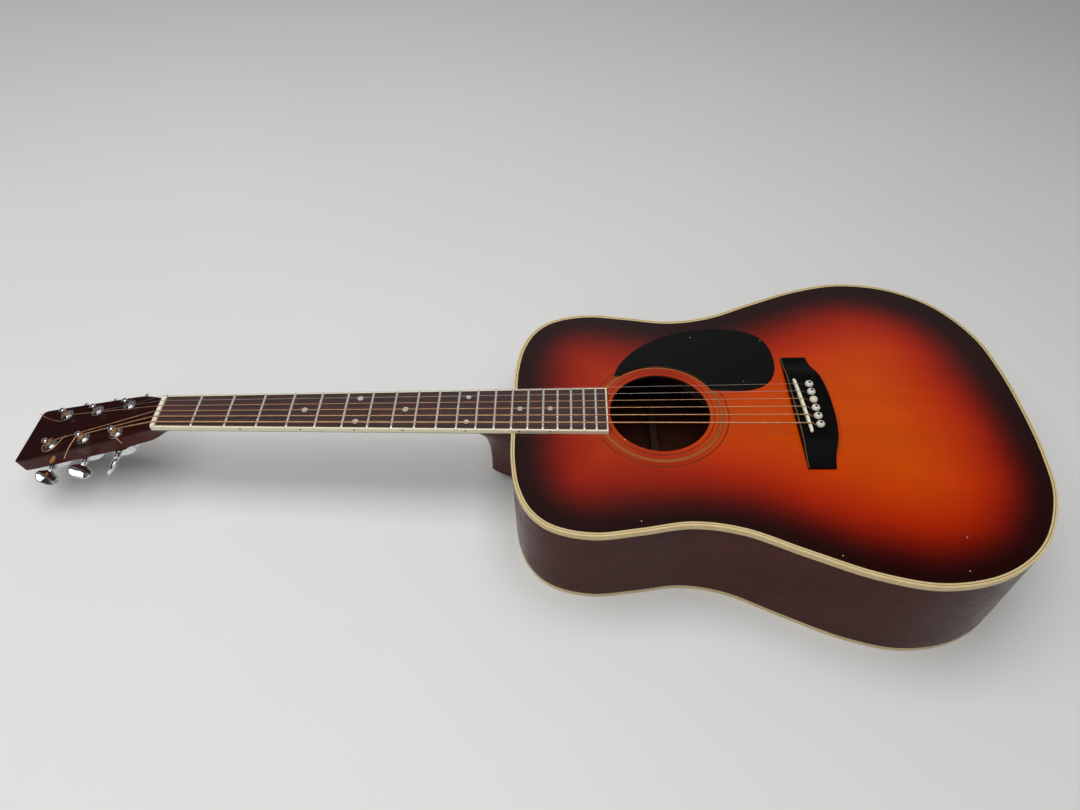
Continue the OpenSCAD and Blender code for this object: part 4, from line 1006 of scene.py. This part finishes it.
for (o, til, wl, wr, d, q, s_) in stations:
    A, B = shape_d(wl, wr, d, MR), shape_r(wl, wr, d, MR)
    P = A * (1 - q) + B * q
    t = math.radians(til)
    row = []
    for y, z in P:
        chip = 0.0
        yy, zz = y, z
        lean_ = 0.0
        if s_ is not None and s_ > 100:
            lean_ = 1.1 * ((s_ - 100) / 55) ** 3 * (26.5 - y) / 60.4
        if s_ is not None and y < -20 and 104 < s_ < 132:
            ds, do = (s_ - 118.0), (z - 2 + 8.3)
            ca_, sa_ = math.cos(math.radians(35.7)), math.sin(math.radians(35.7))
            du, dv_ = (-ds * ca_ + do * sa_) / 6.5, (ds * sa_ + do * ca_) / 1.55
            rr = (abs(du) ** 2.6 + abs(dv_) ** 2.6) ** (1 / 2.6) + 0.07 * math.sin(5 * math.atan2(dv_, du) + 1.0)
            if rr < 1.15 and y < -wl + 1.6:
                k = max(0.0, 1 - rr) ** 0.4 if rr < 1 else 0
                chip = 1.0 if rr < 0.98 else max(0.0, (1.15 - rr) / 0.17)
                yy = y + 1.5 * k * (1 + 0.25 * math.sin(ds * 4.0) * math.sin(do * 2.5))
        row.append((o[0] - math.sin(t) * zz - lean_ * math.cos(t), yy, o[2] + math.cos(t) * zz - lean_ * math.sin(t)))
        chipa.append(chip)
    rows.append(row)
g = Geo()
n, m = len(rows), MR
g.add([p for r in rows for p in r], grid_faces(n, m, close_v=True), chip=chipa)
g.f.append(tuple(range(m))); g.fm.append(0)
g.f.append(tuple((n - 1) * m + k for k in reversed(range(m)))); g.fm.append(0)
# neck material with the bare chip mixed in
s = Sh("neck_lacquer")
gnz = s.noise(s.coord((8, 260, 260)), 1.0, 5, 0.6, 0.3)
big = s.noise(s.coord((9, 20, 20)), 1.0, 3)
pf = s.range(s.noise(s.coord((40, 1300, 1300)), 1.0, 2), 0.56, 0.66)
f = s.math("ADD", s.math("MULTIPLY", s.range(gnz, 0.3, 0.7), 0.55), s.math("MULTIPLY", s.range(big, 0.3, 0.7), 0.45))
c = s.mix(f, lin(56, 20, 16), lin(90, 37, 28))
c = s.mix(s.math("MULTIPLY", pf, 0.5), c, lin(24, 10, 9))
bare = s.mix(s.range(s.noise(s.coord((60, 900, 900)), 1.0, 4, 0.7), 0.3, 0.7), lin(180, 104, 44), lin(234, 172, 92))
ch = s.range(s.attr("chip"), 0.25, 0.6)
c = s.mix(ch, c, bare)
# fine scratches on the bass side by the nut
sep = s.n("SeparateXYZ")
s.link(s.coord(), sep.inputs[0])
qa = W((-12, 0, 0)).x
near = s.math("MULTIPLY", s.range(s.math("ABSOLUTE", s.math("SUBTRACT", sep.outputs[0], qa)), 0.004, 0.009, 1, 0), s.math("LESS_THAN", sep.outputs[1], -0.02))
scr = s.range(s.noise(s.coord((500, 500, 2600), (0, 0.6, 0)), 1.0, 2), 0.6, 0.66)
c = s.mix(s.math("MULTIPLY", s.math("MULTIPLY", near, scr), 0.6), c, lin(150, 110, 90))
s.color(c)
s.normal(s.bump(s.math("SUBTRACT", gnz, pf), 0.07, 0.0003))
s.rough(s.math("ADD", s.range(s.noise(s.coord((70, 70, 70)), 1.0, 4, 0.65), 0.35, 0.7, 0.18, 0.32), s.math("MULTIPLY", ch, 0.4)))
s.set(IOR=1.5, Specular_IOR_Level=0.13)
M_NECKL = s.m
g.make("neck_skin", M_NECKL, reps=("neck",), slot_name="neck_wood", angle=35)

# heel: horizontal sections that flare into the neck above
LV = [(-1, 276, 25.8, 0.6), (-5, 282, 25.5, 0.6), (-9, 288.5, 25.1, 0.6), (-13, 296, 24.8, 0.6), (-16, 302, 24.5, 0.6), (-19, 308, 24.2, 0.6), (-22, 313.5, 23.9, 0.6),
      (-27, 320.5, 23.3, 0.6), (-33, 325.5, 22.6, 0.61), (-40, 328.6, 21.6, 0.62), (-50, 330.8, 20, 0.63), (-64, 331.6, 18, 0.64), (-80, 331.4, 16, 0.65), (-93, 330.8, 14.4, 0.66)]
LVc = catmull(LV, 5)
LVc = np.vstack([LVc, [LVc[-1] + [-0.0, 0.5, -0.3, 0]]])
rows = []
for k, (z, fr, hw, e) in enumerate(LVc):
    last = k == len(LVc) - 1
    row = []
    for t in np.linspace(-1, 1, 49):
        row.append((fr + (357.42 - fr) * abs(t) ** (1 / e) if True else 0, hw * t, z - (0.25 if last else 0)))
    rows.append(row)
g = Geo()
rings(g, rows)
g.make("neck_heel", M_NECKL, slot_name="neck_wood", angle=35)

# headstock veneer
sv_ = sorted(set([0.0] + list(np.arange(2, 150, 3.0)) + [150, 151.5, 152.6, 153.4, 154.0, 154.4, 154.7, 154.9, 155.0]))
lean_of = lambda q_, y: 1.1 * (max(0.0, q_ - 100) / 55) ** 3 * (26.5 - y) / 60.4
loop = [(-s_ - lean_of(s_, ht(s_)), ht(s_)) for s_ in sv_] + [(-s_ - lean_of(s_, -hb(s_)), -hb(s_)) for s_ in reversed(sv_)]
loop = np.array(loop)
loop = loop[np.r_[True, np.linalg.norm(np.diff(loop, axis=0), axis=1) > 1e-6]]
# orient anticlockwise so that the normals point inwards
ar = 0.5 * np.sum(loop[:, 0] * np.roll(loop[:, 1], -1) - np.roll(loop[:, 0], -1) * loop[:, 1])
if ar < 0:
    loop = loop[::-1]
ln = normals2(loop)
prof = [(0.0, -2.0), (0.0, -0.18), (0.05, -0.05), (0.18, 0.0), (0.8, 0.0)]
g = Geo()
rows = []
for i in range(len(loop)):
    row = []
    for d, z in prof:
        q = loop[i] + ln[i] * d
        p = head(min(q[0], 0.0), q[1], z)
        row.append((min(p[0], -5.0), p[1], p[2]))
    rows.append(row)
m = len(prof)
g.add([p for r in rows for p in r], grid_faces(len(loop), m, close_u=True))
g.fm = [1 if k % (m - 1) == 0 else 0 for k in range(len(g.f))]
g.f.append(tuple(i * m + m - 1 for i in range(len(loop)))); g.fm.append(0)
g.f.append(tuple(i * m for i in reversed(range(len(loop))))); g.fm.append(0)
g.make("headstock_face", [M_VENEER, M_VENEER_SIDE], reps=("head_veneer",), slot_name="veneer", angle=30)

# ------------------------------------------------------------------ tuners
POST_S = [42, 81, 120, 120, 81, 42]
POST_Y = [18.8, 18.8, 20.6, -20.6, -18.8, -18.8]
BUT = [-33, -42, -36, 53, 42, -37]


def tuner(i):
    sg = -1 if POST_Y[i - 1] < 0 else 1
    return lambda x, y, z: tuple(head(-POST_S[i - 1] + x, POST_Y[i - 1] + sg * y, z))


g = Geo()
for i in range(1, 7):
    t = tuner(i)
    # dished washer with a rolled rim, and the bushing's nut inside it
    revolve(g, [(3.06, 0.0), (3.06, 1.25), (3.25, 1.38), (3.9, 1.38), (4.3, 1.25), (4.6, 0.95), (5.1, 0.72), (5.7, 0.66), (6.2, 0.74), (6.6, 0.8),
                (6.85, 0.68), (6.97, 0.4), (7.0, 0.0)], t, 56)
g.make("washers_dished", M_CHROME, reps=("tuner_washers", "tuner_bushings"), slot_name="chrome", angle=50)


def paddle(u, e):
    """an angle round a thumb button: 2*pi*u for u in 0..1"""
    a = 2 * math.pi * u
    return a


BUT_OUT = catmull([(0, 0.2), (3.0, 0.6), (5.4, 2.0), (8.2, 3.6), (10.4, 5.4), (11.2, 8.4), (10.6, 11.8), (8.4, 15.2), (5.0, 17.0), (0, 17.2),
                   (-5.0, 17.0), (-8.4, 15.2), (-10.6, 11.8), (-11.2, 8.4), (-10.4, 5.4), (-8.2, 3.6), (-5.4, 2.0), (-3.0, 0.6)], 5, closed=True)
BUT_OUT, _, _ = resample(BUT_OUT, 88)
bn_ = normals2(BUT_OUT)
_ar = 0.5 * np.sum(BUT_OUT[:, 0] * np.roll(BUT_OUT[:, 1], -1) - np.roll(BUT_OUT[:, 0], -1) * BUT_OUT[:, 1])
if _ar < 0:
    bn_ = -bn_
for i in range(1, 7):
    t = tuner(i)
    ang = math.radians(BUT[i - 1])
    ca_, sa_ = math.cos(ang), math.sin(ang)

    def pl(x, y, z, t=t, ca_=ca_, sa_=sa_):
        # local paddle frame: x across, y outwards, z through it; turned about the shaft
        return t(-8 + x * ca_ + z * sa_, 16.4 + y, -20.5 - x * sa_ + z * ca_)
    g = Geo()
    rows = []
    half = [(0.0, 0.0, 1.0), (0.12, 0.6, 1.0), (0.5, 1.15, 1.0), (1.15, 1.6, 1.0), (1.5, 1.72, 0.96), (1.5, 2.15, 0.86), (1.5, 2.5, 0.7), (1.5, 2.8, 0.5), (1.5, 2.98, 0.28), (1.5, 3.05, 0.08)]
    for d, z, k_ in [(d, -z, k_) for d, z, k_ in reversed(half)] + half[1:]:
        rows.append([pl((BUT_OUT[k][0] + bn_[k][0] * d) * k_, 9.6 + (BUT_OUT[k][1] + bn_[k][1] * d - 9.6) * k_, z) for k in range(len(BUT_OUT))])
    rings(g, rows)
    # shaft with its collar
    def ps(x, y, z, t=t):
        return t(-8 + x, z, -20.5 + y)
    revolve(g, [(0.0, -8.3), (1.5, -8.3), (1.5, -5.6), (2.5, -5.6), (2.5, 7.4), (2.0, 7.5), (2.0, 13.3), (2.5, 13.35), (2.95, 13.6), (3.0, 14.2), (2.95, 14.9),
                (2.6, 15.25), (2.0, 15.3), (2.0, 15.8), (2.6, 16.6), (3.1, 17.8), (2.8, 18.8), (0, 19.0)], ps, 32)
    g.make("thumb_button_%d" % i, M_CHROME, body="button_%d" % i, reps=("tuner_button_%d" % i,), slot_name="chrome", angle=32)

# ------------------------------------------------------------------ nut
g = Geo()
rows = []
for y in np.linspace(-21, 21, 127):
    z = 8.4 - y * y / 800
    for i in range(1, 7):
        yn = (3.5 - i) * 7.1 + 1.2
        hw = SD[i - 1] / 2 + 0.15
        if abs(y - yn) < hw + 0.1:
            z = 7.9 - yn * yn / 800 - 0.35
    e = max(0.0, (abs(y) - 20.2) / 0.8) ** 2 * 0.8
    z -= e
    rows.append([(-5, y, 0.0), (-5, y, z - 1.3), (-4.6, y, z - 0.75), (-3.6, y, z - 0.3), (-2.2, y, z - 0.08), (-0.7, y, z), (-0.15, y, z - 0.12), (0, y, z - 0.5), (0, y, 0.0)])
rings(g, rows)
g.make("nut_bone", M_BONE, reps=("nut",), slot_name="bone", angle=35)

# ------------------------------------------------------------------ strings: routes as in part.scad
NUT_Z, SAD_Z = 7.9, 13.0
WR = 2.2
TURNS = [2.5, 2.76, 2.667, 1.83, 2.18, 2.38]
TAILS = [
    [(36.2, 22.6, 5.2), (39.4, 21.7, 4.4)],
    [(79.6, 9.4, 4.6), (78.8, 13, 4.7), (78.3, 16.2, 4.6)],
    [(156.2, 27.8, 2), (151.3, 24.4, 1.3), (146.4, 21.4, 0.9), (139.6, 18, 0.9), (131.3, 14.3, 0.9), (123.7, 12, 1), (117.9, 11.4, 1.3),
     (113.2, 13, 2.4), (112.4, 16.2, 4.3), (114.3, 19.4, 5)],
    [(103, -13.2, 3), (107, -17.5, 1.9), (110.5, -22.3, 1.2), (112.9, -26.6, 1.2), (117.1, -29.4, 1.2), (122.5, -29, 1.2),
     (126.7, -25.6, 1.2), (128.1, -20.8, 1.2), (126.3, -15.6, 1.3), (122.4, -12.8, 1.8), (118.6, -13.4, 3), (117.2, -15.8, 4.3)],
    [(89.6, -44.5, 1.8), (90.2, -37, 2.4), (89.4, -29.5, 3.4), (87, -24, 4.6), (85.3, -20.6, 5.4)],
    [(24.5, -37.4, 3.6), (30.5, -32.4, 4.8), (36.4, -27.6, 6), (41, -23.8, 6.6)]]
lengths = {}
for i in range(1, 7):
    d = SD[i - 1]
    b = 1 if POST_Y[i - 1] < 0 else -1
    r = WR + 0.35 + d / 2
    yn = (3.5 - i) * 7.1 + 1.2
    lean = math.degrees(math.atan(b * (yn - POST_Y[i - 1] - b * r) / POST_S[i - 1]))
    z0 = 2.75 + d / 2
    z1 = 7.65 - d / 2
    N = int(40 * TURNS[i - 1])
    coil = []
    for k in range(N, -1, -1):
        a = math.radians(lean * (1 - k / N) + 360 * TURNS[i - 1] * k / N)
        coil.append(np.array(head(-(POST_S[i - 1] + r * math.sin(a)), POST_Y[i - 1] + b * r * math.cos(a), z0 + min(z1 - z0, TURNS[i - 1] * (d + 0.12)) * k / N)))
    tail = [np.array(head(-q[0], q[1], q[2])) for q in TAILS[i - 1]]
    ctl = tail + [coil[0], coil[2]]
    tl = catmull(ctl, 8)[: 8 * (len(ctl) - 2) + 1]
    ys_ = pin_y(i) * 0.985
    yp = pin_y(i)
    rr = d / 2
    zn = NUT_Z - yn * yn / 800 + rr
    zs = SAD_Z - ys_ * ys_ / 800 + rr + 0.05
    xs = 645.7 - 0.06 * ys_
    run = [(-5.5, yn, zn - 0.35), (-4, yn, zn - 0.1), (0.6, yn, zn)]
    run += [(x, yn + (ys_ - yn) * x / xs, zn + (zs - zn) * x / xs) for x in np.linspace(20, xs - 10, 40)]
    run += [(xs - 1.6, ys_, zs), (xs + 0.4, ys_, zs + 0.06), (xs + 1.9, ys_, zs - 0.1), (DROP_X - 1.9, yp, 9.5 + rr + 1.2), (DROP_X - 0.6, yp, 9.5 + rr - 0.05),
            (DROP_X - 0.05, yp, 8.6), (DROP_X, yp, 6), (DROP_X, yp, -2), (DROP_X - 0.6, yp, -7)]
    path = [tuple(q) for q in tl[:-1]] + [tuple(q) for q in coil] + run
    g = Geo()
    tube(g, path, rr, 14 if i > 2 else 10)
    # ball end under the bridge plate
    revolve(g, [(0, -1.6), (1.5, -1.6), (1.9, -1.2), (1.9, -0.5), (1.5, -0.2), (1.5, 0.2), (1.9, 0.5), (1.9, 1.2), (1.5, 1.6), (0, 1.6)],
            lambda x, y, z, yp=yp: (DROP_X - 0.8 + x, yp + z, -7.3 + y), 24)
    g.make("string_%d_wire" % i, M_WOUND if i > 2 else M_STEEL, reps=("string_%d" % i,), slot_name="bronze_wound" if i > 2 else "plain_steel", angle=60)
    pp = np.array(path)
    lengths[i] = float(np.sum(np.linalg.norm(np.diff(pp, axis=0), axis=1)))

# ------------------------------------------------------------------ CAD nodes that stay, with better materials
# the braces, linings, blocks, bridge plate and back strip take the woods with painted shade
SHOWN = {
    "neck_block": M_BLOCK_PAINTED_SHADE, "tail_block": M_BLOCK_PAINTED_SHADE, "top_lining": M_SPRUCE_PAINTED_SHADE, "back_lining": M_SPRUCE_PAINTED_SHADE, "x_braces": M_SPRUCE_PAINTED_SHADE,
    "upper_brace": M_SPRUCE_PAINTED_SHADE, "tone_bars": M_SPRUCE_PAINTED_SHADE, "finger_braces": M_SPRUCE_PAINTED_SHADE, "soundhole_braces": M_SPRUCE_PAINTED_SHADE,
    "bridge_plate": M_BLOCK_PAINTED_SHADE, "back_braces": M_SPRUCE_PAINTED_SHADE, "back_strip": M_SPRUCE_PAINTED_SHADE, "end_pin": M_PINW, "truss_rod": M_ROD,
    "tuner_housings": M_CHROMEB, "tuner_covers": M_CHROME, "tuner_screws": M_CHROME,
}
for i in range(1, 7):
    SHOWN["tuner_post_%d" % i] = M_CHROME
for k, mt in SHOWN.items():
    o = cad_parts[k]
    o.data.materials.clear()
    o.data.materials.append(mt)

# ------------------------------------------------------------------ floor, light, view
s = Sh("pale_floor")
nz = s.noise(s.coord((3, 3, 3)), 1.0, 2)
s.color(s.mix(nz, (0.79, 0.79, 0.775), (0.83, 0.83, 0.815)))
s.set(Roughness=0.55, IOR=1.45, Specular_IOR_Level=0.3)
me = bpy.data.meshes.new("floor")
me.from_pydata([(-8, -8, 0), (8, -8, 0), (8, 8, 0), (-8, 8, 0)], [], [(0, 1, 2, 3)])
floor = bpy.data.objects.new("floor", me)
floor.data.materials.append(s.m)
bpy.context.scene.collection.objects.link(floor)
floor.location.z = -0.0002


def area(name, loc, target, size, power, color=(1, 1, 1)):
    ld = bpy.data.lights.new(name, "AREA")
    ld.shape = "RECTANGLE"
    ld.size, ld.size_y = size
    ld.energy = power
    ld.color = color
    lo = bpy.data.objects.new(name, ld)
    bpy.context.scene.collection.objects.link(lo)
    lo.location = loc
    lo.rotation_mode = "QUATERNION"
    lo.rotation_quaternion = (Vector(target) - Vector(loc)).to_track_quat("-Z", "Y")
    return lo


key = area("key", (-0.8, -0.3, 2.2), (-0.8, -0.3, 0), (2.8, 2.2), KEY_W)
key.rotation_quaternion = (1, 0, 0, 0)
area("window", (-0.9, -1.9, 1.7), (0, 0, 0.1), (1.0, 1.2), WIN_W)

w = bpy.data.worlds.new("world")
bpy.context.scene.world = w
w.use_nodes = True
nt = w.node_tree
nt.nodes.clear()
wo = nt.nodes.new("ShaderNodeOutputWorld")
bg = nt.nodes.new("ShaderNodeBackground")
tc = nt.nodes.new("ShaderNodeTexCoord")
sx = nt.nodes.new("ShaderNodeSeparateXYZ")
nt.links.new(tc.outputs["Generated"], sx.inputs[0])


def wramp(src, stops):
    """brightness against one component of the direction, -1..1"""
    mr = nt.nodes.new("ShaderNodeMapRange")
    mr.inputs["From Min"].default_value = -1
    nt.links.new(src, mr.inputs["Value"])
    rp = nt.nodes.new("ShaderNodeValToRGB")
    els = rp.color_ramp.elements
    while len(els) < len(stops):
        els.new(0.5)
    for e, (pos, v) in zip(els, stops):
        e.position = (pos + 1) / 2
        e.color = (v, v, v, 1)
    nt.links.new(mr.outputs["Result"], rp.inputs[0])
    return rp.outputs[0]


def wmul(a, b):
    mx = nt.nodes.new("ShaderNodeMix")
    mx.data_type, mx.blend_type = "RGBA", "MULTIPLY"
    mx.inputs[0].default_value = 1.0
    nt.links.new(a, mx.inputs[6])
    nt.links.new(b, mx.inputs[7])
    return mx.outputs[2]


up = wramp(sx.outputs[2], [(-1, 0.5), (0.0, 0.62), (0.35, 0.50), (0.50, 0.36), (0.60, 0.28), (0.66, 0.25), (0.71, 0.13), (0.77, 0.06), (0.88, 0.04), (1.0, 0.2)])
glow_z = wramp(sx.outputs[2], [(-1, 0.0), (0.62, 0.0), (0.70, 0.20), (0.82, 0.19), (0.90, 0.0)])
glow_x = wramp(sx.outputs[0], [(-0.45, 0.0), (-0.12, 1.0), (0.05, 1.0), (0.22, 0.35), (0.36, 0.0)])
glow_y = wramp(sx.outputs[1], [(0.2, 0.0), (0.5, 1.0)])
left = wramp(sx.outputs[0], [(-1, 0.06), (-0.72, 0.08), (-0.35, 0.7), (0.0, 1.0), (0.6, 0.75), (1.0, 0.6)])
back = wramp(sx.outputs[1], [(-1, 0.35), (-0.35, 0.35), (0.1, 1.0), (1.0, 1.0)])
glow = wmul(wmul(glow_z, glow_x), glow_y)
both = nt.nodes.new("ShaderNodeMix")
both.data_type, both.blend_type = "RGBA", "ADD"
both.inputs[0].default_value = 1.0
nt.links.new(wmul(wmul(up, left), back), both.inputs[6])
nt.links.new(glow, both.inputs[7])
nt.links.new(both.outputs[2], bg.inputs[0])
nt.links.new(bg.outputs[0], wo.inputs[0])
bg.inputs[1].default_value = 1.0
bpy.context.scene.view_settings.view_transform = "Standard"
bpy.context.scene.view_settings.look = "None"
bpy.context.scene.view_settings.exposure = 0.0
